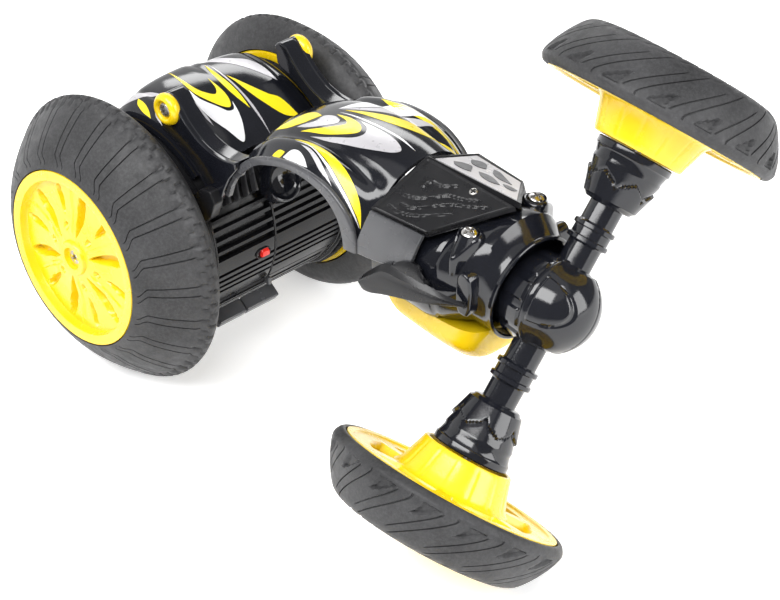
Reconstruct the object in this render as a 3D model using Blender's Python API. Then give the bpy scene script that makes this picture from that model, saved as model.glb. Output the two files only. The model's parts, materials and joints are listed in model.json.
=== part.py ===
"""Two-wheel-drive remote control stunt car with a swivelling front axle.

Lengths are in millimetres and are turned into metres where a mesh is made.
X points forward, Y to the car's left and Z up. The body frame has its origin
at the centre of the rear axle, and the swivel frame at the centre of the ball
joint that carries the front axle.
"""
from math import asin, atan2, cos, hypot, pi, radians, sin

import bmesh
import bpy
from mathutils import Matrix, Vector

MM = 0.001
GAP = 0.3

# Rear wheels
REAR_R = 55.0
REAR_TREAD_Y = 45.2
REAR_HUB_Y = 66.3
REAR_HUB_R = 33.9
REAR_INNER_Y = 37.0
REAR_INNER_R = 43.0

# Swivelling front axle
NECK_X = 171.9
NECK_Z = 39.7
SWIVEL = radians(50.5)
FRONT_R = 43.0
FRONT_TREAD_L = 71.8
FRONT_SHOULDER_L = 87.2
FRONT_SHOULDER_R = 34.6
BALL_R = 16.5
NECK_R = 14.5
TUBE_R = 6.1
CONE_R = 13.6

# Rear drum and the frame plates that carry it
DRUM_R = 40.0
DRUM_WALL = 2.2
DRUM_Y = 32.3
DRUM_SPLIT_Y = -3.0
COLLAR_R = 33.0
COLLAR_Y = 35.8
BARREL_R = 51.5
PLATE_Y = (32.8, 35.2)

# Arched body between the drum and the nose
ARCH_HALF = 27.5
ARCH_Y = (27.8, 30.0)

# Drive inside the drum
GEAR_R = 12.0
PINION_R = 4.0
MOTOR_R = 9.8
AXLE_R = 2.0
MOTOR_ANGLE = radians(-20.0)
GEAR_Y = (25.5, 29.0)

# Rollers on the tips of the horns
ROLLER_X = 14.3
ROLLER_Z = 55.6
ROLLER_R = 6.0
ROLLER_Y = (29.3, 33.9)

# The pitch that puts the shoulder of the lower front tyre on the floor
CONTACT_DROP = FRONT_SHOULDER_L * sin(SWIVEL) + FRONT_SHOULDER_R * cos(SWIVEL) - NECK_Z
PITCH = asin(REAR_R / hypot(NECK_X, CONTACT_DROP)) - atan2(CONTACT_DROP, NECK_X)
NOSE_X = NECK_X * cos(PITCH) + (NECK_Z + FRONT_TREAD_L * sin(SWIVEL)) * sin(PITCH) + FRONT_R
CENTRE_X = (NOSE_X - REAR_R) / 2


# Helpers ------------------------------------------------------------------

def clear_scene():
    for obj in list(bpy.data.objects):
        bpy.data.objects.remove(obj, do_unlink=True)


def plastic(name, color, roughness, metallic=0.0):
    mat = bpy.data.materials.new(name)
    mat.use_nodes = True
    shader = mat.node_tree.nodes["Principled BSDF"]
    shader.inputs["Base Color"].default_value = (*color, 1.0)
    shader.inputs["Roughness"].default_value = roughness
    shader.inputs["Metallic"].default_value = metallic
    return mat


def empty(name, parent=None, location=(0, 0, 0), rotation=(0, 0, 0)):
    obj = bpy.data.objects.new(name, None)
    bpy.context.scene.collection.objects.link(obj)
    obj.parent = parent
    obj.location = [value * MM for value in location]
    obj.rotation_euler = rotation
    return obj


def finish(name, bm, mat, parent, location=(0, 0, 0), rotation=(0, 0, 0), smooth=40.0):
    bmesh.ops.recalc_face_normals(bm, faces=bm.faces)
    bmesh.ops.scale(bm, vec=(MM, MM, MM), verts=bm.verts)
    mesh = bpy.data.meshes.new(name)
    bm.to_mesh(mesh)
    bm.free()
    mesh.materials.append(mat)
    mesh.shade_smooth()
    mesh.set_sharp_from_angle(angle=radians(smooth))
    obj = bpy.data.objects.new(name, mesh)
    bpy.context.scene.collection.objects.link(obj)
    obj.parent = parent
    obj.location = [value * MM for value in location]
    obj.rotation_euler = rotation
    return obj


def add_turned(bm, profile, segments, centre=(0, 0), start=0.0, sweep=2 * pi):
    """Spin a closed (y, radius) profile about a line parallel to Y."""
    full = abs(sweep - 2 * pi) < 1e-6
    steps = segments if full else segments + 1
    rings = []
    for step in range(steps):
        angle = start + sweep * step / segments
        ring = []
        for y, radius in profile:
            if radius < 1e-6 and rings:
                ring.append(rings[0][len(ring)])
                continue
            x = centre[0] + radius * cos(angle)
            z = centre[1] + radius * sin(angle)
            ring.append(bm.verts.new((x, y, z)))
        rings.append(ring)
    pairs = list(zip(rings, rings[1:]))
    if full:
        pairs.append((rings[-1], rings[0]))
    count = len(profile)
    for ring, after in pairs:
        for index in range(count):
            corner = [ring[index], ring[(index + 1) % count],
                      after[(index + 1) % count], after[index]]
            unique = list(dict.fromkeys(corner))
            if len(unique) > 2:
                bm.faces.new(unique)
    if not full:
        bm.faces.new(rings[0])
        bm.faces.new(rings[-1])


def turned(name, profile, mat, parent, segments=32, **place):
    bm = bmesh.new()
    add_turned(bm, profile, segments)
    return finish(name, bm, mat, parent, **place)


def add_prism(bm, outline, y_low, y_high):
    """Extrude a closed (x, z) outline along Y."""
    low = [bm.verts.new((x, y_low, z)) for x, z in outline]
    high = [bm.verts.new((x, y_high, z)) for x, z in outline]
    count = len(outline)
    for index in range(count):
        after = (index + 1) % count
        bm.faces.new((low[index], low[after], high[after], high[index]))
    bm.faces.new(low)
    bm.faces.new(list(reversed(high)))


def prism(name, outline, y_range, mat, parent, **place):
    bm = bmesh.new()
    add_prism(bm, outline, min(y_range), max(y_range))
    return finish(name, bm, mat, parent, **place)


def add_loft(bm, sections):
    """Join closed sections of equal length, and cap both ends."""
    rings = [[bm.verts.new(point) for point in section] for section in sections]
    count = len(rings[0])
    for ring, after in zip(rings, rings[1:]):
        for index in range(count):
            other = (index + 1) % count
            bm.faces.new((ring[index], ring[other], after[other], after[index]))
    bm.faces.new(rings[0])
    bm.faces.new(list(reversed(rings[-1])))


def add_sheet(bm, grid, thickness):
    """Close a grid of points into a sheet of even thickness, inwards."""
    rows = len(grid)
    columns = len(grid[0])

    def normal(row, column):
        along = grid[min(row + 1, rows - 1)][column] - grid[max(row - 1, 0)][column]
        across = grid[row][min(column + 1, columns - 1)] - grid[row][max(column - 1, 0)]
        return along.cross(across).normalized()

    outer = [[bm.verts.new(grid[row][column]) for column in range(columns)] for row in range(rows)]
    inner = [[bm.verts.new(grid[row][column] - normal(row, column) * thickness)
              for column in range(columns)] for row in range(rows)]
    for layer in (outer, inner):
        for row in range(rows - 1):
            for column in range(columns - 1):
                bm.faces.new((layer[row][column], layer[row][column + 1],
                              layer[row + 1][column + 1], layer[row + 1][column]))
    edge = [(row, 0) for row in range(rows)]
    edge += [(rows - 1, column) for column in range(1, columns)]
    edge += [(row, columns - 1) for row in range(rows - 2, -1, -1)]
    edge += [(0, column) for column in range(columns - 2, 0, -1)]
    for here, after in zip(edge, edge[1:] + edge[:1]):
        bm.faces.new((outer[here[0]][here[1]], outer[after[0]][after[1]],
                      inner[after[0]][after[1]], inner[here[0]][here[1]]))


def spline(points, samples):
    """Sample a Catmull-Rom curve through points at equal steps."""
    padded = [points[0] * 2 - points[1]] + points + [points[-1] * 2 - points[-2]]
    result = []
    for sample in range(samples):
        position = sample / (samples - 1) * (len(points) - 1)
        index = min(int(position), len(points) - 2)
        t = position - index
        a, b, c, d = padded[index:index + 4]
        result.append(0.5 * (2 * b + (c - a) * t + (2 * a - 5 * b + 4 * c - d) * t ** 2
                             + (3 * b - a - 3 * c + d) * t ** 3))
    return result


def boolean(target, tool, operation):
    tool.hide_render = True
    tool.display_type = "WIRE"
    tool.data.materials.clear()
    modifier = target.modifiers.new(operation.title(), "BOOLEAN")
    modifier.operation = operation
    modifier.solver = "EXACT"
    modifier.object = tool


def circle(radius, count, centre=(0, 0), start=0.0):
    return [(centre[0] + radius * cos(start + 2 * pi * i / count),
             centre[1] + radius * sin(start + 2 * pi * i / count)) for i in range(count)]


def mirrored(profile, side):
    return [(side * y, radius) for y, radius in profile]


# Wheels -------------------------------------------------------------------

def hollow_tyre(outer, wall):
    """Close a tyre's outside profile into a rubber skin with an open inside."""
    inner = []
    for index in range(len(outer) - 1, -1, -3):
        before = Vector(outer[max(index - 1, 0)])
        after = Vector(outer[min(index + 1, len(outer) - 1)])
        along = (after - before).normalized()
        point = Vector(outer[index]) + Vector((along.y, -along.x)) * wall
        inner.append((point.x, point.y))
    return outer + inner


def rear_wheel(side, name, body):
    tyre = [(REAR_INNER_Y + 0.6, REAR_INNER_R + 0.9), (38.6, 48.2), (41.4, 52.7),
            (REAR_TREAD_Y - 0.8, REAR_R), (REAR_TREAD_Y + 0.8, REAR_R), (49.6, 52.4),
            (54.6, 48.6), (59.8, 43.6), (REAR_HUB_Y - 2.2, 37.8), (REAR_HUB_Y - 0.6, REAR_HUB_R + 0.9)]
    turned(f"rear_tyre_{name}", mirrored(hollow_tyre(tyre, 2.2), side), RUBBER, body, 28)
    face = REAR_HUB_Y - 3.4
    rim = [(REAR_HUB_Y, REAR_HUB_R), (REAR_HUB_Y, REAR_HUB_R - 3.6), (face, REAR_HUB_R - 5.0),
           (face + 0.4, 8.0), (REAR_HUB_Y - 1.4, 6.6), (REAR_HUB_Y - 1.4, 3.6), (62.0, 3.6), (62.0, 2.4),
           (42.0, 2.4), (42.0, 6.0), (face - 2.2, 6.4), (face - 2.4, REAR_HUB_R - 4.0),
           (48.0, 37.0), (42.2, 38.9), (41.8, 40.5), (48.0, 39.0), (62.4, 32.9),
           (REAR_HUB_Y - 0.4, REAR_HUB_R)]
    turned(f"rear_rim_{name}", mirrored(rim, side), YELLOW, body, 24)
    cap = [(REAR_INNER_Y, REAR_INNER_R), (REAR_INNER_Y, REAR_INNER_R - 3.4), (40.2, 34.0), (40.2, 5.0),
           (38.2, 4.6), (38.2, 2.4), (41.7, 2.4), (41.7, 6.4), (41.3, 35.0), (41.3, 41.4), (39.4, 43.0)]
    turned(f"rear_rim_cap_{name}", mirrored(cap, side), YELLOW, body, 24)
    screw = [(65.4, 0.0), (65.4, 1.6), (64.4, 3.2), (62.3, 3.2), (62.3, 1.1), (60.4, 1.1), (60.4, 0.0)]
    turned(f"rear_hub_screw_{name}", mirrored(screw, side), STEEL, body, 16)
    shaft = [(59.9, 0.0), (59.9, AXLE_R), (GEAR_Y[0] - 5.0, AXLE_R), (GEAR_Y[0] - 5.0, 0.0)]
    turned(f"rear_axle_{name}", mirrored(shaft, side), STEEL, body, 16)


def toothed(name, radius, teeth, bore, y_range, mat, parent, location=(0, 0, 0)):
    root = radius - 1.2
    outline = []
    for tooth in range(teeth):
        for share, reach in ((0.0, root), (0.28, root), (0.42, radius), (0.78, radius)):
            angle = 2 * pi * (tooth + share) / teeth
            outline.append((reach * cos(angle), reach * sin(angle)))
    gear = prism(name, outline, y_range, mat, parent, location=location)
    hole = prism(f"{name}_bore", circle(bore, 16), (min(y_range) - 1, max(y_range) + 1), mat, parent,
                 location=location)
    boolean(gear, hole, "DIFFERENCE")


def front_wheel(side, name, body):
    tyre = [(68.6, 40.2), (69.4, 41.9), (FRONT_TREAD_L - 0.6, FRONT_R), (FRONT_TREAD_L + 0.6, FRONT_R),
            (76.4, 41.4), (81.6, 38.6), (FRONT_SHOULDER_L, FRONT_SHOULDER_R), (88.8, 31.0), (89.3, 28.2)]
    turned(f"front_tyre_{name}", mirrored(hollow_tyre(tyre, 2.0), side), RUBBER, body, 28)
    rim = [(89.5, 26.6), (89.5, 24.2), (86.8, 23.6), (86.9, 7.0), (88.4, 5.8), (88.4, 3.4), (86.2, 3.4),
           (86.2, 2.0), (72.0, 2.0), (72.0, 5.0), (84.9, 5.6), (84.7, 24.0), (76.0, 33.0), (72.0, 36.0),
           (72.0, 37.6), (78.0, 34.0), (85.0, 27.2)]
    turned(f"front_rim_{name}", mirrored(rim, side), YELLOW, body, 24)
    cover = [(68.0, 39.4), (68.0, 36.4), (69.6, 34.6), (69.6, 22.4), (68.2, 20.0), (57.0, 16.2),
             (57.0, 14.6), (60.0, 14.4), (60.0, 2.0), (61.8, 2.0), (61.8, 14.0), (71.0, 19.0),
             (71.6, 35.0), (71.6, 38.2), (69.8, 39.2)]
    turned(f"front_rim_cover_{name}", mirrored(cover, side), YELLOW, body, 24)
    screw = [(88.6, 0.0), (88.6, 1.5), (87.8, 3.0), (86.5, 3.0), (86.5, 1.0), (84.6, 1.0), (84.6, 0.0)]
    turned(f"front_hub_screw_{name}", mirrored(screw, side), STEEL, body, 16)


# Rear drive unit ----------------------------------------------------------

def drum_profile(outer_y, split_y, side):
    """A cup with a thin flange and a collar on its closed end."""
    inside = DRUM_R - DRUM_WALL
    return [(split_y, DRUM_R), (outer_y - 1.3 * side, DRUM_R), (outer_y - 1.3 * side, DRUM_R + 1.2),
            (outer_y, DRUM_R + 1.2), (outer_y, COLLAR_R), (COLLAR_Y * side, COLLAR_R),
            (COLLAR_Y * side, 5.4), (30.3 * side, 5.4), (30.3 * side, inside), (split_y, inside)]


def battery_opening(grow):
    """The sector of the drum wall that the battery hatch fills."""
    bm = bmesh.new()
    reach = 28.0 + grow
    profile = [(-reach, DRUM_R - 4.0), (-reach, DRUM_R + 3.0), (reach, DRUM_R + 3.0), (reach, DRUM_R - 4.0)]
    add_turned(bm, profile, 8, start=radians(-72.0) - grow / DRUM_R,
               sweep=radians(46.0) + 2 * grow / DRUM_R)
    return bm


def rear_drum(body):
    for side, name in ((-1, "right"), (1, "left")):
        split = DRUM_SPLIT_Y + side * GAP / 2
        drum = turned(f"drum_shell_{name}", drum_profile(DRUM_Y * side, split, side), BLACK, body, 36)
        opening = finish(f"battery_opening_{name}", battery_opening(0.0), BLACK, body)
        boolean(drum, opening, "DIFFERENCE")
        if side < 0:
            slot = prism("switch_slot", [(35.0, -4.6), (45.0, -4.6), (45.0, -0.2), (35.0, -0.2)],
                         (-13.2, -6.6), BLACK, body)
            boolean(drum, slot, "DIFFERENCE")
    bm = bmesh.new()
    reach = 28.0 - GAP
    inside = DRUM_R - DRUM_WALL
    profile = [(-reach, inside), (-reach, DRUM_R), (reach, DRUM_R), (reach, inside)]
    add_turned(bm, profile, 8, start=radians(-72.0) + GAP / DRUM_R, sweep=radians(46.0) - 2 * GAP / DRUM_R)
    hatch = finish("battery_hatch", bm, BLACK, body)
    tab = prism("hatch_tab", [(29.0, -26.0), (34.8, -30.4), (36.8, -27.8), (31.4, -23.6)], (-27.0, 1.5),
                BLACK, body)
    boolean(hatch, tab, "UNION")


def rear_fairing(body):
    """Barrel-shaped cover over the top and the back of the drum."""
    half = 30.6
    base = DRUM_R + 0.9
    outer = []
    for step in range(13):
        v = -cos(pi * step / 12)
        outer.append((half * v, base + (BARREL_R - base) * (1 - abs(v) ** 3.2) ** 0.5))
    inner = [(y * 0.945, max(base - 0.5, radius - 1.8)) for y, radius in reversed(outer[1:-1])]
    bm = bmesh.new()
    add_turned(bm, outer + inner, 15, start=radians(50.0), sweep=radians(150.0))
    finish("rear_fairing", bm, BLACK, body)


def drive_train(drive, wheels):
    motor_x = (GEAR_R + PINION_R + 0.4) * cos(MOTOR_ANGLE)
    motor_z = (GEAR_R + PINION_R + 0.4) * sin(MOTOR_ANGLE)
    for side, name in ((-1, "right"), (1, "left")):
        can = [(2.0, 0.0), (2.0, MOTOR_R), (22.5, MOTOR_R), (22.5, 3.0), (24.0, 3.0), (24.0, 0.0)]
        turned(f"motor_{name}", mirrored(can, side), STEEL, drive, 24, location=(motor_x, 0, motor_z))
        spin = empty(f"pinion_axis_{name}", drive, (motor_x, 0, motor_z))
        toothed(f"motor_pinion_{name}", PINION_R, 8, 1.0, (side * GEAR_Y[0], side * GEAR_Y[1]), BRASS, spin)
        toothed(f"axle_gear_{name}", GEAR_R, 24, AXLE_R + GAP, (side * GEAR_Y[0], side * GEAR_Y[1]),
                WHITE, wheels[name])
        bush = [(30.6, AXLE_R + GAP), (30.6, 5.1), (35.8, 5.1), (35.8, AXLE_R + GAP)]
        turned(f"axle_bush_{name}", mirrored(bush, side), BRASS, drive, 20)
    prism("battery_pack", [(-31.0, -13.0), (-9.0, -13.0), (-9.0, 11.0), (-31.0, 11.0)], (-22.0, 22.0),
          GREY, drive)
    prism("circuit_board", [(-22.0, 20.0), (20.0, 20.0), (20.0, 21.6), (-22.0, 21.6)], (-24.0, 24.0),
          GREEN, drive)
    prism("power_switch", [(36.0, -4.2), (41.6, -4.2), (41.6, -0.6), (36.0, -0.6)], (-10.6, -7.0),
          RED, drive)


# Front body ---------------------------------------------------------------

def ring_outline(radius, start, sweep, steps):
    return [(radius * cos(radians(start + sweep * i / steps)),
             radius * sin(radians(start + sweep * i / steps))) for i in range(steps + 1)]


RIM_POINTS = [(42.2, 32.6), (44.4, 39.2), (48.5, 45.4), (56.2, 52.8), (64.5, 57.0), (74.0, 59.9),
              (84.0, 60.6), (93.5, 59.2), (101.0, 55.0), (105.2, 50.0), (107.2, 45.0), (108.0, 40.6)]
CREST_POINTS = [(49.0, 57.0), (53.5, 60.6), (60.0, 63.6), (68.0, 66.2), (77.0, 68.2), (88.0, 69.2),
                (99.0, 69.3), (111.2, 68.2)]


def side_frame(side, name, body):
    """Plate with a ring round the drum collar, a horn for the roller and an arch band."""
    rim = spline([Vector(p) for p in RIM_POINTS], 19)
    inner = []
    for before, here, after in zip(rim[:1] + rim, rim, rim[1:] + rim[-1:]):
        along = (after - before).normalized()
        inner.append(here + Vector((along.y, -along.x)) * 3.0)
    band = [(point.x, point.y) for point in rim + inner[::-1]]
    plate = prism(f"side_frame_{name}", band, (side * ARCH_Y[0], side * ARCH_Y[1]), BLACK, body)
    cheek = [(106.2, 41.0), (109.6, 41.0), (121.0, 42.6), (133.5, 49.0), (134.6, 56.6), (112.0, 56.0),
             (109.6, 52.0), (106.4, 46.0)]
    outer_cheek = prism(f"frame_cheek_{name}", cheek, (side * 28.0, side * 28.6), BLACK, body)
    boolean(plate, outer_cheek, "UNION")
    front = [(x, z) for x, z in cheek if x > 109]
    inner_cheek = prism(f"frame_cheek_front_{name}", front, (side * 26.4, side * 28.6), BLACK, body)
    boolean(plate, inner_cheek, "UNION")
    low, high = PLATE_Y
    gusset = [(33.0, 19.0), (28.0, 27.0), (38.0, 41.0), (44.0, 49.0), (51.0, 48.0), (50.0, 40.0),
              (42.0, 26.0)]
    strut = prism(f"frame_gusset_{name}", gusset, (side * low, side * high), BLACK, body)
    boolean(plate, strut, "UNION")
    ring = [(side * low, 42.0), (side * high, 42.0), (side * high, COLLAR_R + GAP),
            (side * low, COLLAR_R + GAP)]
    hoop = turned(f"frame_ring_{name}", ring, BLACK, body, 36)
    boolean(plate, hoop, "UNION")
    horn = ring_outline(52.8, 30.0, 44.0, 8)
    horn += [(10.4, 53.2), (9.4, 57.6), (12.0, 61.0), (16.0, 61.4), (20.5, 59.4), (27.0, 56.0), (36.0, 52.6),
             (45.0, 49.6), (50.0, 49.0), (52.0, 44.0)]
    blade = prism(f"frame_horn_{name}", horn, (side * 23.0, side * 28.9), BLACK, body)
    boolean(plate, blade, "UNION")
    base = [point for point in horn if point[0] > 26.0]
    root = prism(f"frame_root_{name}", base, (side * 28.0, side * 34.0), BLACK, body)
    boolean(plate, root, "UNION")
    hole = prism(f"frame_hole_{name}", circle(1.0, 12, (ROLLER_X, ROLLER_Z)), (side * 20.0, side * 30.0),
                 BLACK, body)
    boolean(plate, hole, "DIFFERENCE")


def front_fairing(body):
    """Arched shell between the drum and the nose."""
    rim = spline([Vector(point) for point in RIM_POINTS], 13)
    crest = spline([Vector(point) for point in CREST_POINTS], 13)
    grid = []
    for low, high in zip(rim, crest):
        line = []
        for column in range(13):
            v = -1 + 2 * column / 12
            point = high.lerp(low, abs(v) ** 2.6)
            line.append(Vector((point.x, ARCH_HALF * v, point.y)))
        grid.append(line)
    bm = bmesh.new()
    add_sheet(bm, grid, 1.8)
    shell = finish("front_fairing", bm, BLACK, body)
    notch = [(30.0, 15.0), (53.0, 15.0), (53.0, 51.0), (30.0, 60.0)]
    for side, name in ((-1, "right"), (1, "left")):
        cutter = prism(f"horn_notch_{name}", notch, (side * 22.6, side * 40.0), BLACK, body)
        boolean(shell, cutter, "DIFFERENCE")


def oval(x, half_width, low, high, power, count=24):
    """A rounded section across the body."""
    section = []
    for index in range(count):
        angle = 2 * pi * index / count
        reach_y = abs(cos(angle)) ** (2 / power) * half_width
        reach_z = abs(sin(angle)) ** (2 / power) * (high - low) / 2
        y = reach_y if cos(angle) > 0 else -reach_y
        z = reach_z if sin(angle) > 0 else -reach_z
        section.append(Vector((x, y, (low + high) / 2 + z)))
    return section


def nose(body):
    stations = [(112.6, 25.4, 24.0, 57.4, 3.4), (124.0, 25.8, 23.0, 58.0, 3.2),
                (136.0, 25.4, 21.0, 60.0, 2.7), (146.0, 24.6, 18.5, 62.4, 2.2),
                (154.0, 23.6, 18.2, 63.6, 2.0), (160.0, 22.6, 20.0, 62.4, 2.0)]
    bm = bmesh.new()
    add_loft(bm, [oval(*station) for station in stations])
    shell = finish("nose_shell", bm, BLACK, body)
    bm = bmesh.new()
    inside = [(115.0, 23.2, 26.2, 55.2, 3.4), (124.0, 23.6, 25.2, 55.8, 3.2), (133.0, 23.2, 23.6, 57.2, 2.7)]
    add_loft(bm, [oval(*station) for station in inside])
    cavity = finish("nose_cavity", bm, BLACK, body)
    boolean(shell, cavity, "DIFFERENCE")
    way_in = prism("nose_way_in", [(118.0, 18.0), (138.0, 18.0), (138.0, 30.0), (118.0, 30.0)], (-14.0, 14.0),
                   BLACK, body)
    boolean(shell, way_in, "DIFFERENCE")
    bore = finish("nose_bore", socket_bore(), BLACK, body, location=(0, 0, NECK_Z))
    boolean(shell, bore, "DIFFERENCE")
    for side, name in ((-1, "right"), (1, "left")):
        seat = finish(f"nose_screw_seat_{name}", upright_disc(3.5, 12.0), BLACK, body,
                      location=(147.8, side * 15.8, 65.5))
        boolean(shell, seat, "DIFFERENCE")
        screw = [(2.0, 0.0), (2.0, 1.6), (1.3, 2.7), (0.0, 3.0), (-0.8, 3.0), (-0.8, 1.1), (-3.8, 1.1),
                 (-3.8, 0.0)]
        turned(f"nose_screw_{name}", screw, CHROME, body, 16, location=(147.8, side * 15.8, 64.0),
               rotation=(pi / 2, 0, 0))


def upright_disc(radius, length):
    bm = bmesh.new()
    bmesh.ops.create_cone(bm, cap_ends=True, segments=16, radius1=radius, radius2=radius, depth=length)
    return bm


def socket_bore():
    """The stepped round hole along X that the neck turns in."""
    bm = bmesh.new()
    steps = [(135.0, 6.3), (147.4, 6.3), (147.4, NECK_R + 0.6), (156.0, NECK_R + 0.6), (156.0, 18.6),
             (164.0, 18.6)]
    add_loft(bm, [[Vector((x, y, z)) for y, z in circle(radius, 24)] for x, radius in steps])
    return bm


def hood(body):
    """Two sloping facets that meet at a ridge, on an even thickness."""
    corners = [(111.8, 0.0, 68.4), (111.8, 25.4, 59.0), (135.0, 23.2, 59.6), (154.0, 1.5, 69.2),
               (154.0, -1.5, 69.2), (135.0, -23.2, 59.6), (111.8, -25.4, 59.0)]
    bm = bmesh.new()
    top = [bm.verts.new(corner) for corner in corners]
    drop = [2.0, 2.6, 2.6, 2.0, 2.0, 2.6, 2.6]
    low = [bm.verts.new((x, y, z - fall)) for (x, y, z), fall in zip(corners, drop)]
    for layer in (top, low):
        bm.faces.new((layer[0], layer[1], layer[2], layer[3]))
        bm.faces.new((layer[0], layer[3], layer[4]))
        bm.faces.new((layer[0], layer[4], layer[5], layer[6]))
    for index in range(7):
        after = (index + 1) % 7
        bm.faces.new((top[index], top[after], low[after], low[index]))
    finish("hood", bm, MATTE, body, smooth=5.0)


def belly_pan(body):
    """Tray under the nose, with its floor sloping down to the front."""
    stations = [(113.5, 18.0, 17.0, 23.0), (118.0, 20.5, 13.6, 22.6), (148.0, 20.5, 12.0, 17.6),
                (155.0, 16.0, 13.6, 17.4)]

    def section(x, half, low, high):
        inset = 3.0
        return [Vector((x, y, z)) for y, z in ((-half, high), (-half, low + inset), (inset - half, low),
                                               (half - inset, low), (half, low + inset), (half, high))]

    bm = bmesh.new()
    add_loft(bm, [section(*station) for station in stations])
    pan = finish("belly_pan", bm, YELLOW, body, smooth=30.0)
    bm = bmesh.new()
    add_loft(bm, [section(118.0, 18.2, 15.6, 30.0), section(146.0, 18.2, 14.0, 30.0)])
    boolean(pan, finish("belly_hollow", bm, YELLOW, body), "DIFFERENCE")


def side_fin(side, name, body):
    """Wing along the lower edge of the nose."""
    stations = [(113.6, 29.6, 38.0, 32.4), (121.0, 28.9, 43.6, 33.4), (138.0, 28.0, 44.4, 37.6),
                (155.0, 24.4, 43.2, 40.6)]
    sections = []
    for x, out, high, low in stations:
        sections.append([Vector((x, side * out, high)), Vector((x, side * (out + 1.8), high - 0.8)),
                         Vector((x, side * (out + 3.0), low)), Vector((x, side * (out + 1.2), low))])
    bm = bmesh.new()
    add_loft(bm, sections)
    finish(f"side_fin_{name}", bm, MATTE, body, smooth=30.0)


def roller(side, name, body, spin):
    low, high = ROLLER_Y
    ring = [(low, 1.5), (low, 4.6), (low + 0.8, ROLLER_R - 0.4), (low + 1.8, ROLLER_R),
            (high - 1.8, ROLLER_R), (high - 0.8, ROLLER_R - 0.4), (high, 4.8), (high - 1.2, 3.4),
            (high - 1.4, 1.5)]
    turned(f"roller_{name}", mirrored(ring, side), YELLOW, spin, 20)
    screw = [(high - 0.2, 0.0), (high - 0.2, 2.0), (high - 1.0, 2.7), (high - 1.1, 1.1), (low - 5.0, 1.1),
             (low - 5.0, 0.0)]
    slim = [(y, min(radius, 2.7) if y > high - 1.2 else min(radius, 0.7)) for y, radius in screw]
    turned(f"roller_screw_{name}", mirrored(slim, side), STEEL, body, 16, location=(ROLLER_X, 0, ROLLER_Z))


# Front axle ---------------------------------------------------------------

def quarter_arc(radius, steps, start=0.0, stop=90.0):
    return [(radius * sin(radians(start + (stop - start) * i / steps)),
             radius * cos(radians(start + (stop - start) * i / steps))) for i in range(steps + 1)]


def swivel_axle(body):
    # Profiles below run along Y and are turned to lie along X.
    along_x = (0, 0, -pi / 2)
    seam = 2.0
    edge = (BALL_R ** 2 - seam ** 2) ** 0.5
    front = [(y, r) for y, r in quarter_arc(BALL_R, 7) if y > seam + 0.1]
    front = [(seam + GAP, edge)] + front
    inner = [(y, r) for y, r in reversed(quarter_arc(BALL_R - 2.0, 5)) if y > seam + 0.1]
    inner.append((seam + GAP, edge - 2.0))
    ball = turned("ball_shell_front", front[:-1] + [(BALL_R, 0.0)] + [(BALL_R - 2.0, 0.0)] + inner[1:],
                  BLACK, body, 24, rotation=along_x)
    back = [(seam, edge - 2.0), (seam, edge), (-2.0, BALL_R), (-7.0, 15.6), (-9.0, NECK_R), (-24.2, NECK_R),
            (-24.2, 5.8), (-33.6, 5.8), (-33.6, 1.6), (-14.0, 1.6), (-13.0, 11.6), (-4.0, 14.3)]
    neck = turned("neck_barrel", back, BLACK, body, 24, rotation=along_x)
    for side, name in ((-1, "right"), (1, "left")):
        for target, label in ((ball, "front"), (neck, "back")):
            hole = turned(f"ball_hole_{label}_{name}", mirrored(
                [(20.0, 0.0), (20.0, TUBE_R + GAP), (8.0, TUBE_R + GAP), (8.0, 0.0)], side),
                BLACK, body, 20)
            boolean(target, hole, "DIFFERENCE")
        arm = [(9.0, TUBE_R), (22.6, TUBE_R), (22.8, 7.4), (24.6, 7.4), (24.9, 6.8), (27.4, 6.8),
               (27.7, 7.4), (29.4, 7.4), (29.6, TUBE_R), (37.0, TUBE_R), (37.2, 8.7), (44.6, 10.6),
               (44.8, 10.0), (53.6, CONE_R - 0.6), (54.0, CONE_R), (56.6, CONE_R), (56.6, 1.9), (9.0, 1.9)]
        turned(f"axle_arm_{name}", mirrored(arm, side), BLACK, body, 20)
    turned("front_axle_shaft", [(-84.0, 0.0), (-84.0, 1.5), (84.0, 1.5), (84.0, 0.0)], STEEL, body, 12)
    screw = [(-36.4, 0.0), (-36.4, 2.2), (-35.6, 4.4), (-34.0, 4.4), (-34.0, 1.2), (-18.0, 1.2), (-18.0, 0.0)]
    turned("neck_screw", screw, STEEL, body, 16, rotation=along_x)


# Assembly -----------------------------------------------------------------

clear_scene()
BLACK = plastic("gloss_black", (0.02, 0.022, 0.028), 0.2)
MATTE = plastic("matte_black", (0.03, 0.03, 0.034), 0.5)
YELLOW = plastic("yellow", (1.0, 0.75, 0.02), 0.3)
RUBBER = plastic("tyre_rubber", (0.05, 0.05, 0.052), 0.7)
STEEL = plastic("steel", (0.5, 0.5, 0.5), 0.35, 1.0)
CHROME = plastic("chrome", (0.8, 0.8, 0.82), 0.1, 1.0)
BRASS = plastic("brass", (0.75, 0.58, 0.25), 0.3, 1.0)
WHITE = plastic("white_nylon", (0.85, 0.85, 0.82), 0.4)
GREY = plastic("battery_grey", (0.25, 0.27, 0.3), 0.5)
GREEN = plastic("board_green", (0.03, 0.2, 0.08), 0.4)
RED = plastic("switch_red", (0.8, 0.02, 0.02), 0.3)

car = empty("car_frame", None, (-CENTRE_X, 0, REAR_R), (0, PITCH, 0))
swivel = empty("swivel_frame", car, (NECK_X, 0, NECK_Z), (SWIVEL, 0, 0))

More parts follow.
